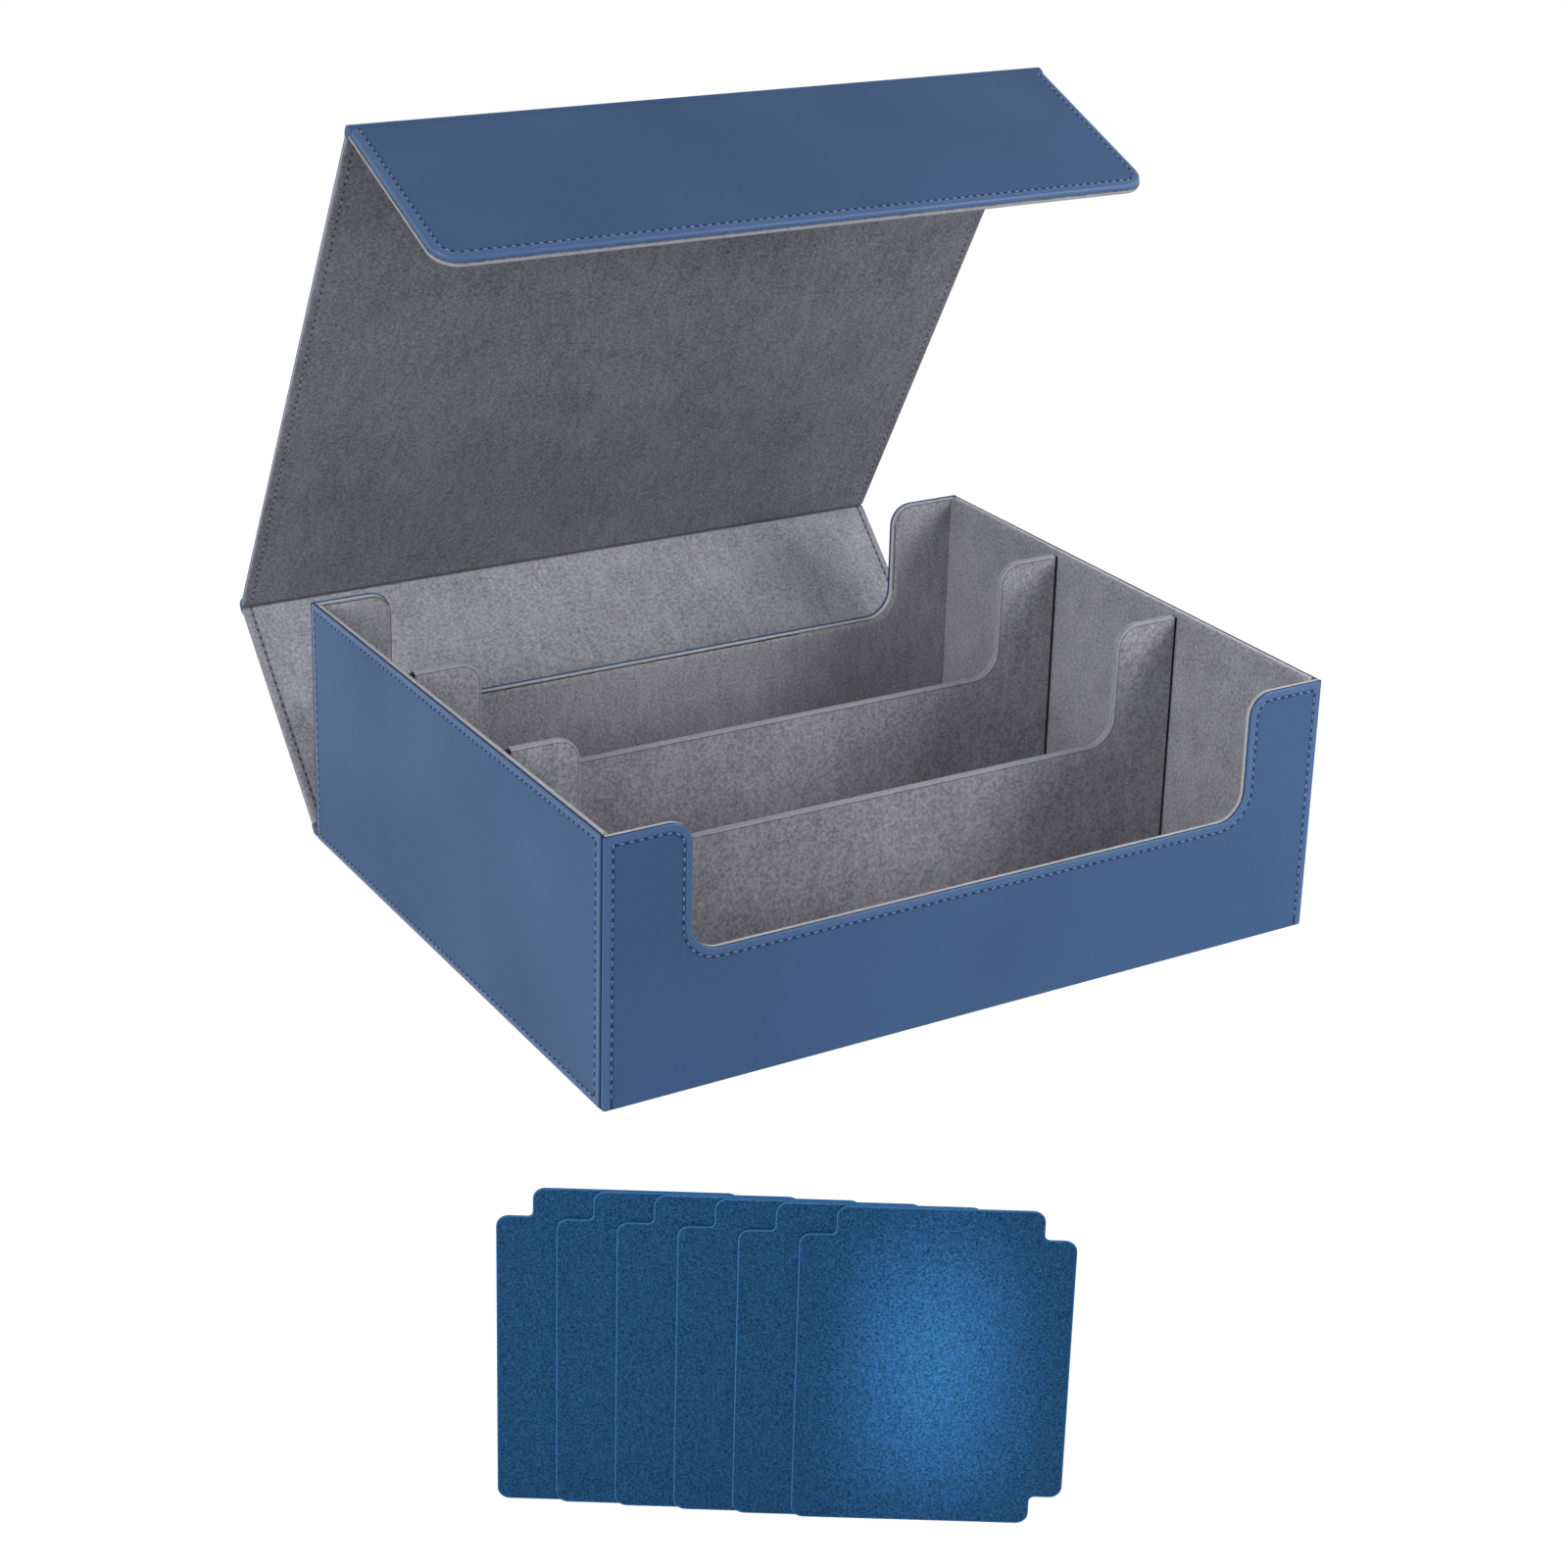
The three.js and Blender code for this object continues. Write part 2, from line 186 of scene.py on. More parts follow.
@dataclass(frozen=True)
class Finish:
    """What a surface is made of: two tones that a pattern blends, a relief and a gloss."""

    name: str
    low_tone: str
    high_tone: str
    roughness: float
    specular: float = 0.5
    relief_mm: float = 0.0
    relief_strength: float = 0.5
    sunk: bool = False
    contrast: tuple[float, float] = (0.0, 1.0)

    def material(self) -> bpy.types.Material:
        """Builds the material, once.

        Returns:
            The new material, or the one already built.
        """
        if self.name not in bpy.data.materials:
            tree = empty_material(self.name).node_tree
            self.draw(tree, add_node(tree, "ShaderNodeTexCoord", output="Object"))
        return bpy.data.materials[self.name]

    def draw(self, tree: Tree, place: Socket) -> None:
        """Draws the finish's pattern and closes the material with it.

        Args:
            tree: the material's node tree.
            place: the place of a point on the box.
        """
        raise NotImplementedError

    def close(
        self, tree: Tree, pattern: Socket, height: Socket | None = None,
        settings: Values | None = None, links: Values | None = None,
    ) -> None:
        """Ends the material in a principled surface.

        Args:
            tree: the material's node tree.
            pattern: what blends the two tones.
            height: what stands in relief.
            settings: more values that are the same all over the surface.
            links: more outputs that feed the surface.
        """
        start, end = self.contrast
        blend = add_node(
            tree, "ShaderNodeMapRange", {"From Min": start, "From Max": end}, {"Value": pattern}
        )
        tones = {"data_type": "RGBA", 6: linear(self.low_tone), 7: linear(self.high_tone)}
        feeds = {"Base Color": add_node(tree, "ShaderNodeMix", tones, {0: blend}, 2)}
        if height is not None:
            feeds["Normal"] = add_node(
                tree, "ShaderNodeBump",
                {"Strength": self.relief_strength, "Distance": self.relief_mm * MM,
                 "invert": self.sunk},
                {"Height": height},
            )
        surface = add_node(
            tree, "ShaderNodeBsdfPrincipled",
            {"Roughness": self.roughness, "Specular IOR Level": self.specular}
            | (settings or {}),
            feeds | (links or {}),
        )
        add_node(tree, "ShaderNodeOutputMaterial", links={"Surface": surface})


@dataclass(frozen=True)
class PressedLeather(Finish):
    """Polyurethane faux leather, cast on a fabric and pressed with a fine pebble grain.

    The skin is smooth and takes a low, even sheen. The press leaves the blue a little deeper
    in the grain's valleys, and the glued board under it shows as slow changes of tone.
    """

    name: str = "blue_pressed_leather"
    low_tone: str = "#496a94"
    high_tone: str = "#405f85"
    roughness: float = 0.5
    specular: float = 0.14
    relief_mm: float = 0.035
    sunk: bool = True
    contrast: tuple[float, float] = (0.35, 0.95)
    # Real pebbles are about 0.5 mm across: drawn coarser, so that they show
    pebble_mm: float = 1.1
    pebble_share: float = 0.35
    tone_mm: float = 90
    gloss_range: tuple[float, float] = (-0.04, 0.05)

    def draw(self, tree: Tree, place: Socket) -> None:
        """Draws pebbles over slow changes of tone and gloss.

        Args:
            tree: the material's node tree.
            place: the place of a point on the box.
        """
        pebbles = add_node(
            tree, "ShaderNodeTexVoronoi",
            {"feature": "SMOOTH_F1", "Scale": 1 / (self.pebble_mm * MM), "Smoothness": 0.6},
            {"Vector": place},
        )
        tone = add_node(
            tree, "ShaderNodeTexNoise",
            {"Scale": 1 / (self.tone_mm * MM), "Detail": 2.0, "Roughness": 0.4},
            {"Vector": place},
        )
        depth = add_node(
            tree, "ShaderNodeMath", {"operation": "MULTIPLY_ADD", 1: self.pebble_share},
            {0: pebbles, 2: tone},
        )
        least, most = (self.roughness + change for change in self.gloss_range)
        gloss = add_node(
            tree, "ShaderNodeMapRange",
            {"From Min": 0.3, "From Max": 0.7, "To Min": least, "To Max": most},
            {"Value": tone},
        )
        self.close(tree, depth, pebbles, links={"Roughness": gloss})


@dataclass(frozen=True)
class BrushedSuede(Finish):
    """Microfibre suede: split polyester fibres, raised with a brush.

    The nap lies one way here and another there, which mottles the grey, and each tuft of
    fibres catches the light by itself. It has no gloss, only a soft bloom at a low angle.
    """

    name: str = "grey_brushed_suede"
    low_tone: str = "#7e7d86"
    high_tone: str = "#c3c2cb"
    roughness: float = 0.96
    specular: float = 0.12
    relief_mm: float = 0.2
    relief_strength: float = 0.6
    contrast: tuple[float, float] = (0.55, 1.05)
    # Real tufts are about 0.4 mm across: drawn coarser, so that they show
    tuft_mm: float = 1.3
    stroke_mm: float = 4
    stroke_draw: float = 0.3
    cloud_mm: float = 36
    layer_share: float = 0.3
    bloom: float = 0.2

    def draw(self, tree: Tree, place: Socket) -> None:
        """Draws tufts, the brush's strokes and large clouds of nap.

        Args:
            tree: the material's node tree.
            place: the place of a point on the box.
        """
        drawn_out = add_node(
            tree, "ShaderNodeMapping", {"Scale": (1, self.stroke_draw, self.stroke_draw)},
            {"Vector": place},
        )
        tufts, *wider = (
            add_node(
                tree, "ShaderNodeTexNoise",
                {"Scale": 1 / (size * MM), "Detail": 3.0, "Roughness": 0.6}, {"Vector": spot},
            )
            for size, spot in (
                (self.tuft_mm, place), (self.stroke_mm, drawn_out), (self.cloud_mm, place)
            )
        )
        nap = tufts
        for layer in wider:
            nap = add_node(
                tree, "ShaderNodeMath", {"operation": "MULTIPLY_ADD", 1: self.layer_share},
                {0: layer, 2: nap},
            )
        self.close(tree, nap, tufts, {"Sheen Weight": self.bloom, "Sheen Roughness": 0.6})


@dataclass(frozen=True)
class SpunThread(Finish):
    """Bonded polyester sewing thread: twisted and smooth. Its tones are brighter than the leather, partly a paler
    thread and partly a painted highlight, and its darker tone in the twist's grooves is painted shade.
    """

    name: str = "blue_sewing_thread"
    low_tone: str = "#496a9b"
    high_tone: str = "#668cc0"
    roughness: float = 0.45
    specular: float = 0.45
    relief_mm: float = 0.06
    twist_mm: float = 0.5

    def draw(self, tree: Tree, place: Socket) -> None:
        """Draws the twist of the yarn, with painted shade in its grooves.

        Args:
            tree: the material's node tree.
            place: the place of a point on the box.
        """
        twist = add_node(
            tree, "ShaderNodeTexWave",
            {"bands_direction": "DIAGONAL", "Scale": 1 / (self.twist_mm * MM * math.tau),
             "Distortion": 1.0},
            {"Vector": place}, "Fac",
        )
        self.close(tree, twist, twist)


@dataclass(frozen=True)
class PlainSurface(Finish):
    """A small or hidden surface with one fine grain: board, plated steel or the painted shade of a needle hole."""

    grain_mm: float = 1.0
    metallic: float = 0.0

    def draw(self, tree: Tree, place: Socket) -> None:
        """Draws the grain.

        Args:
            tree: the material's node tree.
            place: the place of a point on the box.
        """
        grain = add_node(
            tree, "ShaderNodeTexNoise",
            {"Scale": 1 / (self.grain_mm * MM), "Detail": 3.0}, {"Vector": place},
        )
        self.close(tree, grain, settings={"Metallic": self.metallic})


@dataclass(frozen=True)
class FrostedSheet(Finish):
    """Polypropylene sheet, extruded against a frosting roll that leaves a sandy matt grain.

    Each grain is a small lens, so the blue is speckled light and dark, and a broad soft gleam
    lies over it.
    """

    name: str = "blue_frosted_sheet"
    low_tone: str = "#12304b"
    high_tone: str = "#2c699f"
    roughness: float = 0.5
    specular: float = 0.1
    relief_mm: float = 0.07
    contrast: tuple[float, float] = (0.32, 0.68)
    # The real grit is about 0.2 mm: drawn coarser, so that it shows
    grain_mm: float = 0.65

    def draw(self, tree: Tree, place: Socket) -> None:
        """Draws the speckle of the frosting.

        Args:
            tree: the material's node tree.
            place: the place of a point on the box.
        """
        grain = add_node(
            tree, "ShaderNodeTexNoise",
            {"Scale": 1 / (self.grain_mm * MM), "Detail": 2.0, "Roughness": 0.7},
            {"Vector": place},
        )
        self.close(tree, grain, grain)


LEATHER = PressedLeather()
# The band between the edge and the stitch groove is lighter: a painted highlight where its rolled edge catches the
# light.
BAND_HIGHLIGHT_LEATHER = PressedLeather("blue_leather_band_painted_highlight", "#4f719f", "#456591", 0.38, 0.3)
# Darker in the stitch groove: partly the pressed leather, partly painted shade in the channel.
GROOVE_PRESS_AND_SHADE_LEATHER = PressedLeather("blue_leather_groove_press_and_painted_shade", "#304c73", "#284065", 0.55)
# Dark on the cut edges and on the sunk ends of the side walls: partly edge ink, partly painted shade in the gaps
# beside them.
EDGE_INK_AND_SHADE_LEATHER = PressedLeather("blue_leather_edge_ink_and_painted_shade", "#1e304c", "#182740", 0.7, 0.08)
SUEDE = BrushedSuede()
# A copy of the suede a little darker, for the end linings and partitions: painted shade.
LIGHT_SHADE_SUEDE = BrushedSuede("grey_suede_light_painted_shade", "#77767f", "#bcbbc4")
# A much darker copy of the suede, for the lid and the flap: painted shade where they face down.
DEEP_SHADE_SUEDE = BrushedSuede("grey_suede_deep_painted_shade", "#4f5159", "#92949d")
# Darker suede for the stitch grooves, the fold creases and the flanks of the partitions' ridges: painted shade.
SHADED_SUEDE = BrushedSuede("grey_suede_painted_shade", "#65646c", "#807f88")
# Near-black suede in the joints between linings and partitions: painted shade.
JOINT_SHADE_SUEDE = BrushedSuede("grey_suede_joint_painted_shade", "#222226", "#323237")
# Lighter suede on the partitions' rounded tops: painted highlight.
RIDGE_HIGHLIGHT_SUEDE = BrushedSuede("grey_suede_ridge_painted_highlight", "#9696a0", "#b6b6c0", relief_mm=0.15)
# Lighter suede on the rims of the cover's linings: painted highlight.
RIM_HIGHLIGHT_SUEDE = BrushedSuede("grey_suede_rim_painted_highlight", "#9c9ea7", "#b1b3bb", relief_mm=0.1)
# Much lighter suede on the lips over the walls' tops: painted highlight where they face up.
LIP_HIGHLIGHT_SUEDE = BrushedSuede("grey_suede_lip_painted_highlight", "#c2c2c8", "#dadade", relief_mm=0.1)
# Thread tones: a painted highlight over a paler thread, with painted shade in the twist.
THREAD = SpunThread()
LINING_THREAD = SpunThread("grey_sewing_thread", "#777982", "#a3a5ad")
# Dark discs in the stitch groove: painted shade where the needle holes are.
HOLE_SHADE_LEATHER = PlainSurface("blue_painted_hole_shade", "#1a3152", "#213c62", 0.9, grain_mm=0.6)
HOLE_SHADE_LINING = PlainSurface("grey_painted_hole_shade", "#3a3b42", "#494a51", 0.9, grain_mm=0.6)
CARD = FrostedSheet()
# A lighter blue round each card's edge: painted highlight.
RIM_HIGHLIGHT_CARD = FrostedSheet("blue_sheet_rim_painted_highlight", "#356fa8", "#4a84b8", relief_mm=0.03)
PRESSED_BOARD = PlainSurface("grey_pressed_board", "#8b8071", "#a69b8b", 0.92, grain_mm=1.5)
PLATED_STEEL = PlainSurface(
    "nickel_plated_steel", "#a9a9ad", "#bcbcc0", 0.3, grain_mm=2.0, metallic=1.0
)


# The workbench: selecting and shaping as by hand


def deselect_all() -> None:
    """Leaves edit mode and takes everything out of the selection."""
    active = bpy.context.view_layer.objects.active
    if active is not None and active.mode != "OBJECT":
        bpy.ops.object.mode_set(mode="OBJECT")
    bpy.ops.object.select_all(action="DESELECT")


def make_active(piece: Piece) -> None:
    """Selects one piece, and nothing else.

    Args:
        piece: the piece.
    """
    deselect_all()
    piece.select_set(True)
    bpy.context.view_layer.objects.active = piece


@contextmanager
def editing(piece: Piece) -> Iterator[None]:
    """Opens a piece in edit mode with nothing selected.

    Args:
        piece: the piece to edit.

    Yields:
        Nothing; the piece is in edit mode until the block ends.
    """
    make_active(piece)
    bpy.ops.object.mode_set(mode="EDIT")
    bpy.ops.mesh.select_mode(type=Element.FACE.value)
    bpy.ops.mesh.select_all(action="DESELECT")
    yield
    bpy.ops.object.mode_set(mode="OBJECT")


def pick(piece: Piece, element: Element, wanted: Test) -> int:
    """Selects the elements of the piece in edit mode that pass a test, and no others.

    Args:
        piece: the piece that is in edit mode.
        element: what is selected.
        wanted: says whether an element is selected.

    Returns:
        How many were selected.
    """
    bpy.ops.mesh.select_mode(type=element.value)
    bpy.ops.mesh.select_all(action="DESELECT")
    shape = bmesh.from_edit_mesh(piece.data)
    shape.normal_update()
    pools = {Element.VERTEX: shape.verts, Element.EDGE: shape.edges, Element.FACE: shape.faces}
    chosen = [item for item in pools[element] if wanted(item)]
    for item in chosen:
        item.select_set(True)
    shape.select_flush_mode()
    bmesh.update_edit_mesh(piece.data)
    return len(chosen)


def settle(piece: Piece) -> Piece:
    """Puts a piece's place, turn and size into its mesh.

    Args:
        piece: the piece.

    Returns:
        The piece.
    """
    make_active(piece)
    bpy.ops.object.transform_apply(location=True, rotation=True, scale=True)
    return piece


def modify(piece: Piece, kind: str, **settings: Any) -> None:
    """Adds a modifier to a piece and applies it.

    Args:
        piece: the piece.
        kind: Blender's name of the modifier type.
        settings: the modifier's properties.
    """
    make_active(piece)
    modifier = piece.modifiers.new(kind.lower(), kind)
    for key, value in settings.items():
        setattr(modifier, key, value)
    bpy.ops.object.modifier_apply(modifier=modifier.name)


def slice_through(
    piece: Piece, point: Iterable[float], normal: Iterable[float],
    drop: bool = False, fill: bool = False,
) -> None:
    """Cuts a piece along a plane.

    Args:
        piece: the piece.
        point: a point of the plane.
        normal: the plane's normal, which points to the side that stays.
        drop: whether the other side is removed.
        fill: whether the cut is closed with a face.
    """
    with editing(piece):
        bpy.ops.mesh.select_all(action="SELECT")
        bpy.ops.mesh.bisect(
            plane_co=point, plane_no=normal, clear_inner=drop, use_fill=fill, threshold=TINY
        )


def round_over(piece: Piece, radius: float, steps: int, wanted: Test) -> None:
    """Rounds the edges of a piece that pass a test.

    Args:
        piece: the piece.
        radius: how far the rounding reaches over the faces on both sides.
        steps: facets across the rounding.
        wanted: says whether an edge is rounded.
    """
    with editing(piece):
        if pick(piece, Element.EDGE, wanted):
            bpy.ops.mesh.bevel(
                offset_type="OFFSET", offset=radius, segments=steps, profile=0.5,
                affect="EDGES", clamp_overlap=True,
            )


def face_outwards(piece: Piece) -> None:
    """Merges doubled points of a closed piece and turns its faces outwards.

    Args:
        piece: the piece.
    """
    with editing(piece):
        bpy.ops.mesh.select_all(action="SELECT")
        bpy.ops.mesh.remove_doubles(threshold=TINY / 10)
        bpy.ops.mesh.normals_make_consistent(inside=False)


def drop_slivers(piece: Piece) -> None:
    """Dissolves the faces without any width that cuts can leave behind.

    Args:
        piece: the piece.
    """
    with editing(piece):
        bpy.ops.mesh.select_all(action="SELECT")
        bpy.ops.mesh.dissolve_degenerate(threshold=TINY / 2)


def smooth(piece: Piece) -> None:
    """Shades a piece smooth, but for its sharp edges."""
    make_active(piece)
    bpy.ops.object.shade_smooth_by_angle(angle=SMOOTH_ANGLE)


def put(piece: Piece, place: Matrix) -> Piece:
    """Moves a flat-made piece to its place on the box."""
    piece.matrix_world = place @ piece.matrix_world
    return settle(piece)


def coat(piece: Piece, finish: Finish, wanted: Test | None = None) -> None:
    """Gives a finish to a piece, or to those of its faces that pass a test.

    Args:
        piece: the piece.
        finish: the finish.
        wanted: says whether a face takes the finish, or None for all faces.
    """
    material = finish.material()
    if material.name not in piece.data.materials:
        piece.data.materials.append(material)
    number = piece.data.materials.find(material.name)
    for face in piece.data.polygons:
        if wanted is None or wanted(face):
            face.material_index = number


def declare(piece: Piece, nodes: tuple[str, ...] = ()) -> None:
    """Shades a finished piece, and hides the CAD nodes that it stands for.

    Args:
        piece: the piece, in its place.
        nodes: the CAD nodes that it stands for.
    """
    smooth(piece)
    if nodes:
        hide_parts(*nodes)


def hand_over(piece: Piece, body: str, nodes: tuple[str, ...] = ()) -> None:
    """Ties a finished piece to a body of the CAD model.

    Args:
        piece: the piece, in its place.
        body: the moving body that carries it.
        nodes: the CAD nodes that it stands for.
    """
    declare(piece, nodes)
    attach(piece, body)
    log.info("%s: %d faces, on %s", piece.name, len(piece.data.polygons), body)


# Outlines, sheets and slabs


@dataclass(frozen=True)
class Bite:
    """A rectangle that is cut out of an outline."""

    left: float
    right: float
    bottom: float
    top: float

    def holds(self, point: Vector) -> bool:
        """Says whether a point lies in the rectangle."""
        return self.left < point.x < self.right and self.bottom < point.y < self.top


@dataclass(frozen=True)
class Corner:
    """A corner of an outline or a seam, and the radius that rounds it."""

    x: float
    y: float
    radius: float = 0.0


@dataclass(frozen=True)
class Outline:
    """A flat outline: a rectangle, less its bites, with some corners rounded."""

    left: float
    right: float
    bottom: float
    top: float
    bites: tuple[Bite, ...] = ()
    corners: tuple[Corner, ...] = ()

    def sheet(self, name: str) -> Piece:
        """Cuts the outline from a plane that faces +Z.

        Args:
            name: the new piece's name.

        Returns:
            A piece of one face.
        """
        deselect_all()
        middle = ((self.left + self.right) / 2, (self.bottom + self.top) / 2, 0)
        bpy.ops.mesh.primitive_plane_add(size=1, location=middle)
        piece = bpy.context.object
        piece.name = name
        piece.scale = (self.right - self.left, self.top - self.bottom, 1)
        settle(piece)
        for bite in self.bites:
            for x in (bite.left, bite.right):
                slice_through(piece, (x, 0, 0), (1, 0, 0))
            for y in (bite.bottom, bite.top):
                slice_through(piece, (0, y, 0), (0, 1, 0))
        with editing(piece):
            if self.bites:
                pick(
                    piece, Element.FACE,
                    lambda face: any(b.holds(face.calc_center_median()) for b in self.bites),
                )
                bpy.ops.mesh.delete(type="FACE")
                bpy.ops.mesh.select_all(action="SELECT")
                bpy.ops.mesh.dissolve_limited(angle_limit=0.001)
            for corner in self.corners:
                spot = Vector((corner.x, corner.y, 0))
                if pick(piece, Element.VERTEX, lambda v, spot=spot: (v.co - spot).length < TINY):
                    bpy.ops.mesh.bevel(
                        offset_type="OFFSET", offset=corner.radius, segments=ARC_STEPS,
                        profile=0.5, affect="VERTICES", clamp_overlap=False,
                    )
        return piece

    def slab(self, name: str, thickness: float, longer: str = "") -> Piece:
        """Cuts the outline from a slab with its face at Z 0 and its thickness below.

        Args:
            name: the new piece's name.
            thickness: the slab's thickness.
            longer: the sides on which it runs out, to be trimmed, as letters of l, r, b and t.

        Returns:
            The closed slab.
        """
        reach = {side: RUN_OUT if side in longer else 0 for side in "lrbt"}
        wide = replace(
            self, left=self.left - reach["l"], right=self.right + reach["r"],
            bottom=self.bottom - reach["b"], top=self.top + reach["t"],
        )
        piece = wide.sheet(name)
        modify(piece, "SOLIDIFY", thickness=thickness, offset=-1)
        return piece


@dataclass(frozen=True)
class Seam:
    """A row of stitches along a bent line, in the plane of the sheet that it sews."""

    corners: tuple[Corner, ...]
    pitch: float = 3.85 * MM

    def points(self) -> list[Vector]:
        """Works out the line, with its round corners as short steps.

        Returns:
            The points of the line.
        """
        spots = [Vector((c.x, c.y)) for c in self.corners]
        line = [spots[0]]
        for before, spot, after, corner in zip(spots, spots[1:], spots[2:], self.corners[1:]):
            if corner.radius <= 0:
                line.append(spot)
                continue
            back = (before - spot).normalized() * corner.radius
            ahead = (after - spot).normalized() * corner.radius
            for step in range(ARC_STEPS + 1):
                turn = QUARTER_TURN * step / ARC_STEPS
                line.append(
                    spot + back * (1 - math.sin(turn)) + ahead * (1 - math.cos(turn))
                )
        line.append(spots[-1])
        return line

    def places(self) -> list[Matrix]:
        """Spaces the stitches evenly along the line.

        Returns:
            The place of each stitch: its middle, with X along the line.
        """
        line = self.points()
        lengths = [(b - a).length for a, b in zip(line, line[1:])]
        count = max(1, round(sum(lengths) / self.pitch))
        spacing = sum(lengths) / count
        found: list[Matrix] = []
        passed = 0.0
        for a, b, length in zip(line, line[1:], lengths):
            heading = (b - a).normalized()
            while len(found) < count and (len(found) + 0.5) * spacing <= passed + length + TINY:
                spot = a + heading * ((len(found) + 0.5) * spacing - passed)
                turn = Matrix.Rotation(math.atan2(heading.y, heading.x), 4, "Z")
                found.append(Matrix.Translation((*spot, 0)) @ turn)
            passed += length
        return found


@dataclass
class Stitching:
    """Lockstitch in heavy thread: each stitch dives into a needle hole at both its ends."""

    thread: Finish
    hole: Finish
    lift: float = -0.3 * MM
    pitch: float = 3.85 * MM
    stitch_length: float = 2.4 * MM
    thread_radius: float = 0.44 * MM
    straight_share: float = 0.6
    dip_share: float = 0.7
    tip_share: float = 0.55
    hole_length: float = 2.0 * MM
    hole_width: float = 1.1 * MM
    hole_depth: float = 0.4 * MM
    sunk: float = 0.05 * MM
    pattern: bpy.types.Mesh | None = None

    def model(self) -> bpy.types.Mesh:
        """Models one stitch and the needle hole after it, once.

        Returns:
            The mesh that every row of stitches copies.
        """
        if self.pattern is not None:
            return self.pattern
        deselect_all()
        straight = self.stitch_length * self.straight_share
        bpy.ops.mesh.primitive_cylinder_add(
            vertices=6, radius=self.thread_radius, depth=straight,
            rotation=(0, QUARTER_TURN, 0), location=(0, 0, self.lift),
        )
        stitch = settle(bpy.context.object)
        dive = Vector((
            (self.stitch_length - straight) / 2, 0, -self.thread_radius * self.dip_share
        ))
        for side in (-1, 1):
            with editing(stitch):
                pick(
                    stitch, Element.FACE,
                    lambda face, side=side:
                        face.calc_center_median().x * side > straight / 2 - TINY,
                )
                bpy.ops.mesh.extrude_region_move(
                    TRANSFORM_OT_translate={"value": (side * dive.x, 0, dive.z)}
                )
                bpy.ops.transform.resize(value=(1, self.tip_share, self.tip_share))
        coat(stitch, self.thread)
        # The needle hole: a dark oval disc sunk into the groove, painted shade.
        deselect_all()
        bpy.ops.mesh.primitive_circle_add(
            vertices=8, radius=0.5, fill_type="NGON", location=(self.pitch / 2, 0, -self.sunk),
        )
        hole = bpy.context.object
        hole.scale = (self.hole_length, self.hole_width, 1)
        settle(hole)
        modify(hole, "SOLIDIFY", thickness=self.hole_depth, offset=-1)
        coat(hole, self.hole)
        make_active(stitch)
        hole.select_set(True)
        bpy.ops.object.join()
        self.pattern = stitch.data.copy()
        bpy.data.objects.remove(stitch)
        return self.pattern

    def row(self, name: str, seams: tuple[Seam, ...]) -> Piece:
        """Sews along seams.

        Args:
            name: the new piece's name.
            seams: the lines to sew.

        Returns:
            All the stitches as one flat-made piece.
        """
        pattern = self.model()
        shape = bmesh.new()
        for seam in seams:
            for place in seam.places():
                first = len(shape.verts)
                shape.from_mesh(pattern)
                shape.verts.ensure_lookup_table()
                bmesh.ops.transform(shape, matrix=place, verts=shape.verts[first:])
        mesh = bpy.data.meshes.new(name)
        shape.to_mesh(mesh)
        shape.free()
        for material in pattern.materials:
            mesh.materials.append(material)
        piece = bpy.data.objects.new(name, mesh)
        bpy.context.scene.collection.objects.link(piece)
        return piece


LEATHER_SEWING = Stitching(THREAD, HOLE_SHADE_LEATHER, -0.1 * MM)
TIGHT_SEWING = Stitching(THREAD, HOLE_SHADE_LEATHER)
LINING_SEWING = Stitching(
    LINING_THREAD, HOLE_SHADE_LINING, hole_length=1.5 * MM, hole_width=0.9 * MM
)


class Layer(Enum):
    """The finishes of a sewn sheet, as the numbers of its material slots. The groove's slot takes a darker finish,
    painted shade in the stitch channel.
    """

    FIELD = 0
    BAND = 1
    CREASE = 2


@dataclass(frozen=True)
class Groove:
    """The shallow channel that a tight seam pulls into its material."""

    margin: float = 3.7 * MM
    width: float = 1.3 * MM
    depth: float = 0.28 * MM

    def press(self, piece: Piece, turned: float) -> None:
        """Presses the channel into the face of a slab, along all of its edges.

        Args:
            piece: the slab, with a material slot for each layer.
            turned: how far the rounding of the slab's edges reaches over its face.
        """
        half = self.width / 2
        with editing(piece):
            pick(piece, Element.FACE, lambda face: face.normal.z > SQUARE)
            inset_faces(self.margin - turned - half, 0)
            bpy.ops.mesh.select_all(action="INVERT")
            lay(piece, Layer.BAND)
            bpy.ops.mesh.select_all(action="INVERT")
            lay(piece, Layer.CREASE)
            inset_faces(half, -self.depth)
            inset_faces(half, self.depth)
            lay(piece, Layer.FIELD)
            inset_faces(half, 0)


def inset_faces(thickness: float, depth: float) -> None:
    """Insets the selected faces, and raises the inner ones by a depth."""
    bpy.ops.mesh.inset(thickness=thickness, depth=depth, use_even_offset=True)


def lay(piece: Piece, layer: Layer) -> None:
    """Gives a layer's material slot to the selected faces."""
    piece.active_material_index = layer.value
    bpy.ops.object.material_slot_assign()


def level_edge(height: float) -> Test:
    """Makes a test for the sharp edges that lie at a height.

    Args:
        height: the height in Z.

    Returns:
        The test.
    """
    return lambda edge: (
        all(abs(v.co.z - height) < TINY for v in edge.verts)
        and len(edge.link_faces) == 2 and edge.calc_face_angle() > SHARP_ANGLE
    )


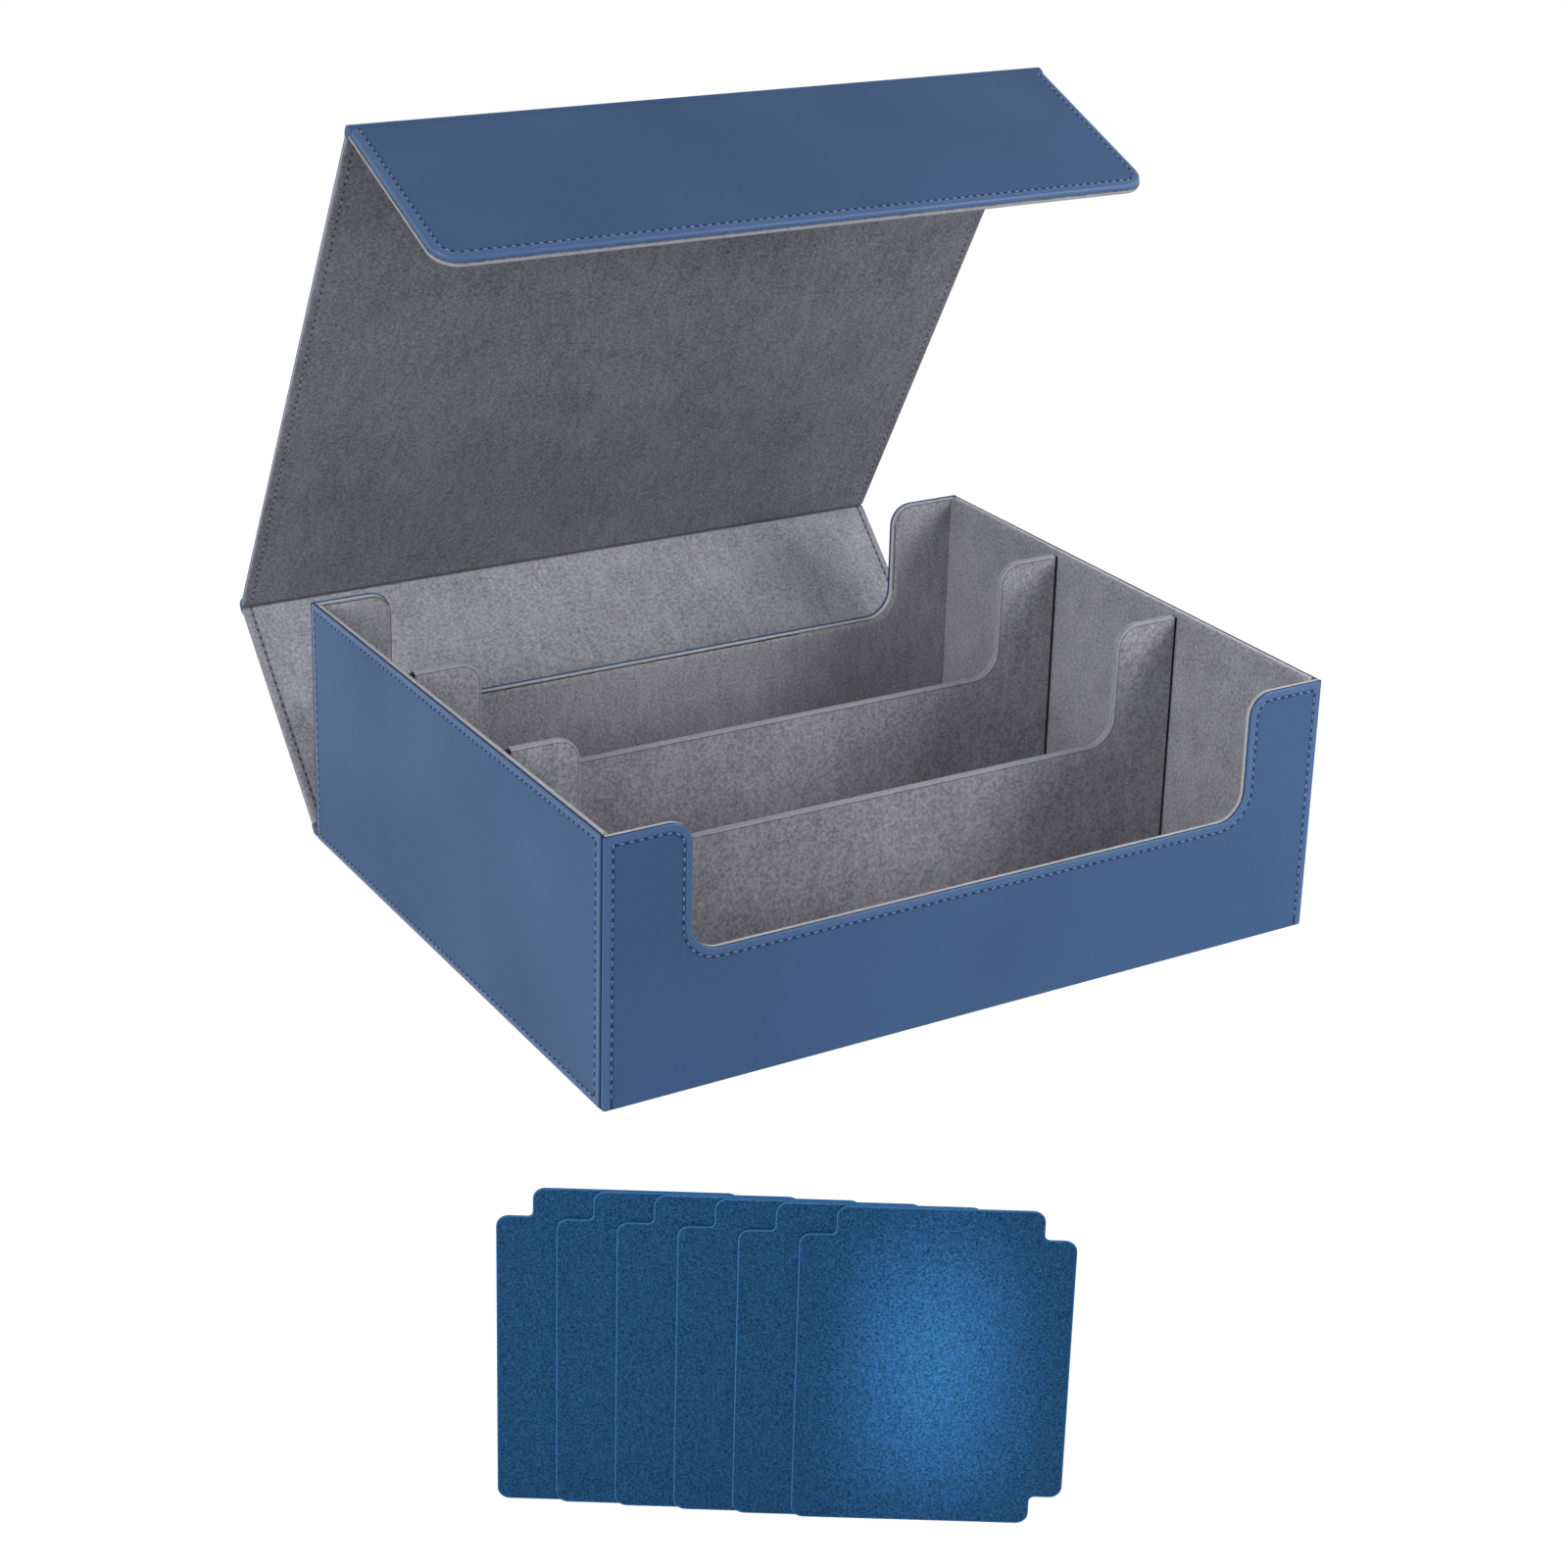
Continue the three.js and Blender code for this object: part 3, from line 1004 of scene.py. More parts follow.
def trim(piece: Piece, outline: Outline, sides: str) -> None:
    """Cuts the run-out off a piece, and closes the cuts.

    Args:
        piece: the piece, made larger than its outline on some sides.
        outline: the outline that it has to keep to.
        sides: which sides are cut, as letters of l, r, b and t.
    """
    cuts = {
        "l": ((outline.left, 0, 0), (1, 0, 0)),
        "r": ((outline.right, 0, 0), (-1, 0, 0)),
        "b": ((0, outline.bottom, 0), (0, 1, 0)),
        "t": ((0, outline.top, 0), (0, -1, 0)),
    }
    for side in sides:
        slice_through(piece, *cuts[side], True, True)


@dataclass(frozen=True)
class Skin:
    """A leather or lining sheet that is sewn along its edges and turned over at them."""

    thickness: float
    turn_radius: float
    groove: Groove | None = None
    turn_steps: int = 4
    back_radius: float = 0.0
    finishes: tuple[Finish, Finish, Finish] = (LEATHER, BAND_HIGHLIGHT_LEATHER, GROOVE_PRESS_AND_SHADE_LEATHER)

    def model(self, name: str, outline: Outline, plain_sides: str = "") -> Piece:
        """Models the sheet, its face at Z 0 and its thickness below.

        Args:
            name: the new piece's name.
            outline: the sheet's outline.
            plain_sides: the sides along which no groove runs, as letters of l, r, b and t.

        Returns:
            The closed sheet.
        """
        piece = outline.slab(name, self.thickness, plain_sides)
        for finish in self.finishes:
            piece.data.materials.append(finish.material())
        round_over(piece, self.turn_radius, self.turn_steps, level_edge(0))
        if self.back_radius:
            round_over(piece, self.back_radius, 2, level_edge(-self.thickness))
        if self.groove is not None:
            self.groove.press(piece, self.turn_radius)
        trim(piece, outline, plain_sides)
        return piece


def hollow(piece: Piece, wall: float, depth: float, low: bool) -> None:
    """Sinks a pocket into the flat back or face of a slab.

    Args:
        piece: the slab.
        wall: how much is left standing round the pocket.
        depth: how deep the pocket is.
        low: whether it is sunk into the side that faces -Z.
    """
    facing = -1 if low else 1
    with editing(piece):
        pick(piece, Element.FACE, lambda face: face.normal.z * facing > SQUARE)
        inset_faces(wall, 0)
        bpy.ops.mesh.extrude_region_move(
            TRANSFORM_OT_translate={"value": (0, 0, -facing * depth)}
        )


# The tray


@dataclass(frozen=True)
class HandNotch:
    """The notch that lets a hand reach the cards, between the two tabs of a wall."""

    half_width: float
    level: float
    tab_radius: float = 10 * MM
    floor_radius: float = 12 * MM

    def outline(self, left: float, right: float, bottom: float, top: float) -> Outline:
        """Draws a wall with the notch in its top.

        Args:
            left: where the wall begins.
            right: where it ends.
            bottom: the height of its foot.
            top: the height of its tabs.

        Returns:
            The outline.
        """
        side = self.half_width
        return Outline(
            left, right, bottom, top,
            (Bite(-side, side, self.level, top + RUN_OUT),),
            tuple(
                Corner(x, y, radius)
                for x in (-side, side)
                for y, radius in ((top, self.tab_radius), (self.level, self.floor_radius))
            ),
        )

    def seam(self, half_length: float, bottom: float, top: float, margin: float) -> Seam:
        """Draws the seam up one side, along the tabs and the notch, and down the other side.

        Args:
            half_length: half the wall's length.
            bottom: the height of its foot.
            top: the height of its tabs.
            margin: how far in from the edges the seam runs.

        Returns:
            The seam.
        """
        outer = half_length - margin
        inner = self.half_width + margin
        crown = top - margin
        tab = self.tab_radius - margin
        floor = self.floor_radius + margin
        half = [
            Corner(outer, bottom + margin), Corner(outer, crown), Corner(inner, crown, tab),
            Corner(inner, self.level - margin, floor),
        ]
        return Seam(tuple([Corner(-c.x, c.y, c.radius) for c in half] + half[::-1]))


@dataclass
class Tray:
    """The open box: four walls of board, leather outside and suede inside, in three rows."""

    leather: float = 1 * MM
    board: float = 3 * MM
    lining: float = 1 * MM
    tab_width: float = 36.5 * MM
    notch_level: float = 55.99 * MM
    foot: float = 0.15 * MM
    lining_foot: float = 3.5 * MM
    edge_radius: float = 0.8 * MM
    side_edge_radius: float = 0.5 * MM
    corner_gap: float = 2.2 * MM
    rear_gap: float = 0.3 * MM
    corner_clip: float = 1.3 * MM
    clip_share: float = 0.4
    lip_radius: float = 3.0 * MM
    lip_outer_radius: float = 0.6 * MM
    lining_step: float = 0.8 * MM
    back_lip_drop: float = 0.6 * MM
    partition_step: float = 0.8 * MM
    partition_gap: float = 1.8 * MM
    ridge_radius: float = 1.25 * MM
    ridge_swell: float = 0.3 * MM
    floor_radius: float = 0.5 * MM
    base_margin: float = 6 * MM
    front_groove: Groove = field(default_factory=Groove)
    side_groove: Groove = field(default_factory=lambda: Groove(margin=3.1 * MM))

    def __post_init__(self) -> None:
        """Takes the tray's overall size from the CAD model."""
        low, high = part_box("base_leather")
        wall_low, wall_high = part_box("left_wall_leather")
        self.half_width = (high.x - low.x) / 2
        self.half_depth = (high.y - low.y) / 2
        self.height = wall_high.z
        self.notch = HandNotch(self.half_width - self.tab_width, self.notch_level)

    def side_place(self, towards: tuple[int, int]) -> Matrix:
        """Works out where a wall's outside face lies.

        Args:
            towards: the direction that the wall faces, in X and Y.

        Returns:
            The place of a flat-made wall: its X along the wall, its Y up, its Z outwards.
        """
        turn = math.atan2(towards[0], -towards[1])
        shift = Vector((towards[0] * self.half_width, towards[1] * self.half_depth, 0))
        return Matrix.Translation(shift) @ Matrix.Rotation(turn, 4, "Z") @ UPRIGHT

    def fit(self, piece: Piece, place: Matrix, slot: Slot, *nodes: str) -> None:
        """Puts a flat-made piece in its place, and ties it to the tray."""
        hand_over(put(piece, place), Body.TRAY.value, nodes)

    def dress(self, name: str, place: Matrix, piece: Piece, sewing: Stitching, seam: Seam) -> None:
        """Puts a wall's leather in its place and sews it.

        Args:
            name: the wall's name.
            place: where the flat-made wall goes.
            piece: the flat-made leather.
            sewing: how it is sewn.
            seam: where it is sewn.
        """
        self.fit(piece, place, Slot.LEATHER, f"{name}_wall_leather")
        self.fit(sewing.row(f"{name}_wall_stitches", (seam,)), place, Slot.LEATHER)

    def end_leather(self, name: str, place: Matrix) -> None:
        """Makes the leather of the front or the back wall, with its stitches.

        Args:
            name: the wall's name.
            place: where the flat-made wall goes.
        """
        wall = (self.half_width, self.foot, self.height)
        outline = self.notch.outline(-self.half_width, *wall)
        skin = Skin(self.leather, self.edge_radius, self.front_groove)
        piece = skin.model(f"{name}_wall_skin", outline, "b")
        for side in (-1, 1):
            for share, slope in ((1, self.clip_share), (self.clip_share, 1)):
                spot = (side * (self.half_width - self.corner_clip * share), self.foot, 0)
                rise = 1 + self.clip_share - slope
                slice_through(piece, spot, (-side * slope, rise, 0), True, True)
        end = self.half_width - self.edge_radius
        # The cut edges take the dark finish: edge ink and painted shade in the groove at the lip.
        coat(piece, EDGE_INK_AND_SHADE_LEATHER, lambda face: is_cut_edge(face) and abs(face.center.x) < end)
        sewing = TIGHT_SEWING if name == "back" else LEATHER_SEWING
        self.dress(name, place, piece, sewing, self.notch.seam(*wall, self.front_groove.margin))

    def side_leather(self, name: str, place: Matrix, front: int) -> None:
        """Makes the leather of a side wall, with its stitches and its sunk ends.

        Args:
            name: the wall's name.
            place: where the flat-made wall goes.
            front: the sign of the flat-made wall's X towards the front.
        """
        full = self.half_depth - self.leather
        gaps = {front: self.corner_gap, -front: self.rear_gap}
        outline = Outline(gaps[-1] - full, full - gaps[1], self.foot, self.height)
        skin = Skin(self.leather, self.side_edge_radius, self.side_groove)
        piece = skin.model(f"{name}_wall_skin", outline)
        # The cut edges and the sunk ends take the dark finish: edge ink and painted shade in the corner gaps.
        coat(piece, EDGE_INK_AND_SHADE_LEATHER, is_cut_edge)
        for side, gap in gaps.items():
            sink_end(piece, side, full - gap, gap, EDGE_INK_AND_SHADE_LEATHER)
        margin = self.side_groove.margin
        left, right = outline.left + margin, outline.right - margin
        low, top = self.foot + margin, self.height - margin
        spots = ((left, low), (left, top), (right, top), (right, low), (left, low))
        seam = Seam(tuple(Corner(x, y) for x, y in spots))
        self.dress(name, place, piece, LEATHER_SEWING, seam)

    def lay_lining(self, name: str, place: Matrix, piece: Piece) -> None:
        """Puts a wall's lining in its place, behind its leather."""
        behind = place @ Matrix.Translation((0, 0, -self.leather))
        self.fit(piece, behind, Slot.LINING, f"{name}_wall_lining")

    def end_lining(self, name: str, place: Matrix, drop: float) -> None:
        """Makes the lining of the front or the back wall, with its lip over the board.

        Args:
            name: the wall's name.
            place: where the flat-made wall goes.
            drop: how far the lip stays below the leather's edge, all along the notch.
        """
        notch = HandNotch(
            self.notch.half_width + drop, self.notch.level - drop,
            self.notch.tab_radius - drop, self.notch.floor_radius + drop,
        )
        half = self.half_width - self.leather
        outline = notch.outline(-half, half, self.lining_foot, self.height - drop)
        lip = self.lining - drop
        self.lay_lining(name, place, self.lipped_slab(name, outline, lip, LIGHT_SHADE_SUEDE))

    def side_lining(self, name: str, place: Matrix) -> None:
        """Makes the lining of a side wall, with its lip over the board.

        Args:
            name: the wall's name.
            place: where the flat-made wall goes.
        """
        end = self.half_depth - self.leather - self.board - self.lining
        outline = Outline(-end, end, self.lining_foot, self.height)
        piece = self.lipped_slab(name, outline, self.lining, SUEDE)
        round_over(piece, self.lining_step, 2, lambda edge: is_inner_end(edge, end))
        drop_slivers(piece)
        # The rounded ends, where the side lining meets the end linings, take painted shade.
        coat(piece, JOINT_SHADE_SUEDE, is_end_step)
        self.lay_lining(name, place, piece)

    def lipped_slab(self, name: str, outline: Outline, wall: float, suede: Finish) -> Piece:
        """Models a lining that covers a board's inside and turns over its top.

        Args:
            name: the wall's name.
            outline: the lining's outline.
            wall: how thick the lip is above the board.
            suede: the lining's suede, the plain one or the copy painted a little darker as shade.

        Returns:
            The flat-made lining, with the pocket for the board in its outer side.
        """
        thickness = self.board + self.lining
        piece = outline.slab(f"{name}_wall_suede", thickness, "lrb")
        hollow(piece, wall, self.board, False)
        round_over(piece, self.lip_radius, 5, level_edge(-thickness))
        round_over(piece, self.lip_outer_radius, 3, level_edge(0))
        trim(piece, outline, "lrb")
        drop_slivers(piece)
        coat(piece, suede)
        # The lip takes the lighter suede: painted highlight.
        coat(piece, LIP_HIGHLIGHT_SUEDE, lambda face: is_lip(face, thickness))
        return piece

    def partition(self, index: int) -> None:
        """Makes the suede cover of a partition, folded over its board with a soft ridge.

        Args:
            index: the partition's number.
        """
        low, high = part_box(f"partition_{index}_cover")
        thickness = high.y - low.y
        middle = -thickness / 2
        end = high.x - self.partition_gap
        outline = self.notch.outline(-end, end, low.z, high.z)
        piece = outline.slab(f"partition_{index}_suede", thickness, "lrb")
        for height in (0, -thickness):
            round_over(piece, self.ridge_radius, 4, level_edge(height))
        slice_through(piece, (0, 0, middle), UP)
        with editing(piece):
            pick(
                piece, Element.VERTEX,
                lambda v: abs(v.co.z - middle) < TINY and abs(v.co.x) < end,
            )
            bpy.ops.transform.shrink_fatten(value=-self.ridge_swell)
        trim(piece, outline, "lrb")
        # The cover takes the copy of the suede with a little painted shade.
        coat(piece, LIGHT_SHADE_SUEDE)
        # Painted shade on the flanks of the folded top, and a painted highlight on its crown.
        for suede, lean in ((SHADED_SUEDE, 0.99), (RIDGE_HIGHLIGHT_SUEDE, 0.9)):
            coat(piece, suede, lambda face, lean=lean: is_ridge(face, end, lean))
        # Both ends are sunk into a joint with painted shade.
        for side in (-1, 1):
            sink_end(piece, side, end, self.partition_gap, JOINT_SHADE_SUEDE, self.partition_step)
        place = Matrix.Translation((0, low.y, 0)) @ UPRIGHT
        self.fit(piece, place, Slot.LINING, f"partition_{index}_cover")

    def row_floor(self, row: int) -> None:
        """Makes the suede on the floor of a row.

        Args:
            row: the row's number.
        """
        low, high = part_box(f"row_{row}_floor_lining")
        outline = Outline(low.x, high.x, low.y, high.y)
        # The floor's groove takes the shaded suede: painted shade in the stitch channel.
        skin = Skin(high.z - low.z, self.floor_radius, finishes=(SUEDE, SUEDE, SHADED_SUEDE))
        piece = skin.model(f"row_{row}_floor_suede", outline)
        place = Matrix.Translation((0, 0, high.z))
        self.fit(piece, place, Slot.LINING, f"row_{row}_floor_lining")

    def base(self) -> None:
        """Makes the leather under the tray, inside the foot of the walls' skins."""
        x, y = self.half_width - self.leather, self.half_depth - self.leather
        skin = Skin(self.leather, self.edge_radius, Groove(margin=self.base_margin))
        piece = skin.model("base_skin", Outline(-x, x, -y, y))
        self.fit(piece, Matrix.Rotation(HALF_TURN, 4, "X"), Slot.LEATHER, "base_leather")

    def build(self) -> None:
        """Builds the whole tray."""
        self.base()
        for name, side, drop in (("front", -1, 0.0), ("back", 1, self.back_lip_drop)):
            place = self.side_place((0, side))
            self.end_leather(name, place)
            self.end_lining(name, place, drop)
        for name, side in (("left", -1), ("right", 1)):
            place = self.side_place((side, 0))
            self.side_leather(name, place, -side)
            self.side_lining(name, place)
        for index in (1, 2):
            self.partition(index)
        for row in (1, 2, 3):
            self.row_floor(row)


def sink_end(
    piece: Piece, side: int, end: float, gap: float, finish: Finish, step: float = 0.0
) -> None:
    """Draws a flat-made piece out at one end, a step below its faces, as a joint whose dark finish paints the
    shade in it.

    Args:
        piece: the piece.
        side: the end's side, -1 or 1 in X.
        end: how far out the end lies before.
        gap: how far it is drawn out.
        finish: the dark finish in the joint, painted shade.
        step: how far the joint lies below the faces, or 0 to keep the end's own outline.
    """
    with editing(piece):
        pick(piece, Element.FACE, lambda face: face.normal.x * side > SQUARE)
        if step:
            bpy.ops.mesh.dissolve_faces()
            inset_faces(step, 0)
        bpy.ops.mesh.extrude_region_move(TRANSFORM_OT_translate={"value": (side * gap, 0, 0)})
    coat(piece, finish, lambda face: face.center.x * side > end - TINY)


def is_cut_edge(face: bpy.types.MeshPolygon) -> bool:
    """Says whether a face of a flat-made skin lies on its cut edge, or close to it."""
    return abs(face.normal.z) < STEEP


def is_lip(face: bpy.types.MeshPolygon, thickness: float) -> bool:
    """Says whether a face of a flat-made lining lies on its lip."""
    return is_cut_edge(face) and face.normal.y > -0.5 and -thickness < face.center.z


def is_end_step(face: bpy.types.MeshPolygon) -> bool:
    """Says whether a face of a flat-made lining lies on the rounding of one of its ends."""
    return 0.2 < abs(face.normal.x) < 0.98


def is_inner_end(edge: bmesh.types.BMEdge, end: float) -> bool:
    """Says whether an edge of a flat-made lining bounds its row side, at one of its ends.

    Args:
        edge: the edge.
        end: half the lining's length.

    Returns:
        Whether it lies there.
    """
    return all(abs(v.co.x) > end - TINY for v in edge.verts) and any(
        face.normal.z < -0.1 for face in edge.link_faces
    )


def is_ridge(face: bpy.types.MeshPolygon, end: float, lean: float) -> bool:
    """Says whether a face of a flat-made partition cover lies on its folded top.

    Args:
        face: the face.
        end: half the cover's length.
        lean: how far the face may lean towards the rows, as a share of facing them.

    Returns:
        Whether it lies there.
    """
    return abs(face.normal.z) < lean and face.normal.y > -0.7 and abs(face.center.x) < end - TINY


# The cover


@dataclass(frozen=True)
class Panel:
    """One board of the cover between its folds, in leather outside and suede inside."""

    name: str
    body: Body
    place: Matrix
    half_width: float
    start: float
    end: float
    free_end: bool = False
    shell: float = 2.5 * MM
    pad: float = 2.0 * MM
    thickness: float = 4.6 * MM
    rim: float = 1 * MM
    leather: float = 1 * MM
    lining: float = 1.2 * MM
    leather_inset: float = 0.5 * MM
    free_radius: float = 11 * MM
    edge_radius: float = 1.5 * MM
    suede_radius: float = 0.8 * MM
    back_radius: float = 0.25 * MM
    outer_groove: Groove = Groove(margin=3.6 * MM)
    inner_groove: Groove = Groove(margin=3.6 * MM, depth=0.2 * MM)

    def outline(self, inset: float) -> Outline:
        """Draws the panel's outline, drawn in by an inset.

        Args:
            inset: how far inside the full outline it runs.

        Returns:
            The outline.
        """
        x, low = self.half_width - inset, self.start
        high = self.end - inset if self.free_end else self.end
        corners = ()
        if self.free_end:
            radius = self.free_radius - inset
            corners = (Corner(-x, high, radius), Corner(x, high, radius))
        return Outline(-x, x, low, high, (), corners)

    def seam(self, inset: float, margin: float) -> tuple[Seam, ...]:
        """Draws the seams of one side of the panel.

        Args:
            inset: how far the side's edge lies inside the full outline.
            margin: how far in from that edge the stitches run.

        Returns:
            One seam round the free end, or one along each side.
        """
        x = self.half_width - inset - margin
        low, high = self.start, self.end
        if self.free_end:
            crown = high - inset - margin
            radius = self.free_radius - inset - margin
            return (Seam((
                Corner(-x, low), Corner(-x, crown, radius), Corner(x, crown, radius),
                Corner(x, low),
            )),)
        return tuple(Seam((Corner(side * x, low), Corner(side * x, high))) for side in (-1, 1))

    def build(self) -> None:
        """Builds the panel's leather, suede and stitches."""
        body = self.body.value
        plain = "b" if self.free_end else "bt"
        # The lid and the flap take the darker copy of the suede: painted shade.
        suede = SUEDE if self.body is Body.SPINE else DEEP_SHADE_SUEDE
        raised = Matrix.Translation((0, 0, self.thickness / 2))
        outside = self.place @ Matrix.Rotation(HALF_TURN, 4, "Y") @ raised
        inside = self.place @ raised
        skin = Skin(self.shell, self.edge_radius, self.outer_groove, 5, self.back_radius)
        shell = skin.model(f"{self.name}_skin", self.outline(self.leather_inset), plain)
        hollow(shell, self.rim, self.shell - self.leather, True)
        hand_over(put(shell, outside), body, (f"{self.name}_leather",))
        # The lining's groove takes the shaded suede: painted shade in the stitch channel.
        sheet = Skin(
            self.pad, self.suede_radius, self.inner_groove, 3, self.back_radius,
            (suede, suede, SHADED_SUEDE),
        ).model(f"{self.name}_suede", self.outline(0), plain)
        hollow(sheet, self.rim, self.pad - self.lining, True)
        # The rim takes the lighter suede: painted highlight.
        coat(sheet, RIM_HIGHLIGHT_SUEDE, lambda face: abs(face.normal.z) < 0.3)
        hand_over(put(sheet, inside), body, (f"{self.name}_lining",))
        for label, sewing, inset, groove, place in (
            ("outer", LEATHER_SEWING, self.leather_inset, self.outer_groove, outside),
            ("inner", LINING_SEWING, 0, self.inner_groove, inside),
        ):
            row = sewing.row(f"{self.name}_{label}_stitches", self.seam(inset, groove.margin))
            hand_over(put(row, place), body)


@dataclass(frozen=True)
class Fold:
    """The bend between two panels: leather round the outside, suede creased into the inside.

    The steps are how far a section's points lie past the end of the panel before the fold, and
    how far in from the fold's outside or inside.
    """

    name: str
    before: Body
    after: Body
    place: Matrix
    turn: float
    half_width: float
    radius: float = 2.3 * MM
    half_gap: float = 2.6 * MM
    crease: float = 1.5 * MM
    suede: float = 0.7 * MM
    leather_inset: float = 0.5 * MM
    suede_inset: float = 0.2 * MM
    bend_steps: int = 8
    outer_steps: tuple[tuple[float, float], ...] = (
        (-1.0 * MM, 0.75 * MM), (0.2 * MM, 0.25 * MM), (1.2 * MM, 0.0)
    )
    inner_steps: tuple[tuple[float, float], ...] = ((-1.0 * MM, 0.6 * MM), (0.1 * MM, 0.3 * MM))
    crease_turn: float = 0.32
    crease_reach: float = 0.42

    def turned(self, share: float, along: float, height: float) -> Vector:
        """Turns a point about the fold's line by a share of the fold's bend.

        Args:
            share: the share of the bend.
            along: the point's Y.
            height: the point's Z.

        Returns:
            The turned point.
        """
        return Matrix.Rotation(self.turn * share, 3, "X") @ Vector((0, along, height))

    def after_fold(self, points: list[Vector]) -> list[Vector]:
        """Mirrors the points before the fold to those after it, from the fold outwards."""
        return [self.turned(1, -p.y, p.z) for p in reversed(points)]

    def outer_line(self) -> list[Vector]:
        """Draws the outside of the fold.

        Returns:
            The points, from the panel before the fold to the panel after it.
        """
        before = [
            Vector((0, along - self.half_gap, inward - self.radius))
            for along, inward in self.outer_steps
        ]
        arc = [
            self.turned(step / self.bend_steps, 0, -self.radius)
            for step in range(self.bend_steps + 1)
        ]
        return before + arc + self.after_fold(before)

    def inner_line(self, sunk: float) -> list[Vector]:
        """Draws the crease inside the fold, drawn back by a thickness.

        Args:
            sunk: how far behind the suede's face the line runs.

        Returns:
            The points, from the panel before the fold to the panel after it.
        """
        before = [
            Vector((0, along - self.half_gap, self.radius - inward - sunk))
            for along, inward in self.inner_steps
        ]
        before.append(self.turned(
            self.crease_turn, -self.half_gap * self.crease_reach,
            (self.radius + self.crease) / 2 - sunk,
        ))
        middle = self.turned(0.5, 0, self.crease - sunk)
        return before + [middle] + self.after_fold(before)

    def bar(self, name: str, section: list[Vector], half_width: float) -> Piece:
        """Models a bar with a section across the fold.

        Args:
            name: the new piece's name.
            section: the section's points in Y and Z, in order round it.
            half_width: half the bar's length.

        Returns:
            The closed bar, in the fold's own frame.
        """
        deselect_all()
        bpy.ops.mesh.primitive_circle_add(
            vertices=len(section), radius=1, fill_type="NGON", rotation=(0, QUARTER_TURN, 0)
        )
        piece = settle(bpy.context.object)
        piece.name = name
        for vertex, point in zip(piece.data.vertices, section):
            vertex.co = Vector((-half_width, point.y, point.z))
        with editing(piece):
            bpy.ops.mesh.select_all(action="SELECT")
            bpy.ops.mesh.extrude_region_move(
                TRANSFORM_OT_translate={"value": (2 * half_width, 0, 0)}
            )
        face_outwards(piece)
        return piece

    def build(self) -> None:
        """Builds the fold's leather and its suede."""
        outside, inside = self.outer_line(), self.inner_line(0)
        behind = self.inner_line(self.suede)[::-1]
        # The fold's suede is the shaded suede: painted shade in the crease.
        for label, front, inset, finish, slot, nodes in (
            ("skin", outside, self.leather_inset, LEATHER, Slot.LEATHER, (self.name,)),
            ("suede", inside, self.suede_inset, SHADED_SUEDE, Slot.LINING, ()),
        ):
            piece = self.bar(f"{self.name}_{label}", front + behind, self.half_width - inset)
            coat(piece, finish)
            declare(put(piece, self.place), nodes)
            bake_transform(piece)
            log.info("%s bends from %s to %s", piece.name, self.before.value, self.after.value)


@dataclass
class Cover:
    """The folding cover: a spine, a lid and a flap, hinged at the tray's lower back edge."""

    flap_length: float = 90.97 * MM
    gap: float = 2.6 * MM

    def build(self) -> None:
        """Builds the panels and the folds between them, at the CAD model's joints."""
        low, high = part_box("base_leather")
        half_width = (high.x - low.x) / 2
        joints = {joint["name"]: joint for joint in frame["joints"]}
        hinges = [joints[name] for name in ("spine_hinge", "lid_hinge", "flap_hinge")]
        folds = ("base_fold", "lid_fold", "flap_fold")
        points = [Vector(hinge["pos_m"]) for hinge in hinges]
        lengths = [(b - a).length for a, b in zip(points, points[1:])]
        lengths.append(self.flap_length + self.gap)
        before, heading = Body.TRAY, 0.0
        for index, after in enumerate((Body.SPINE, Body.LID, Body.FLAP)):
            spot = Matrix.Translation(points[index])
            place = spot @ Matrix.Rotation(heading, 4, "X")
            bend = -math.radians(hinges[index]["range_deg"][0])
            Fold(folds[index], before, after, place, bend, half_width).build()
            heading += bend
            Panel(
                after.value, after, spot @ Matrix.Rotation(heading, 4, "X"), half_width,
                self.gap, lengths[index] - self.gap, after is Body.FLAP,
            ).build()
            before = after


# The divider cards


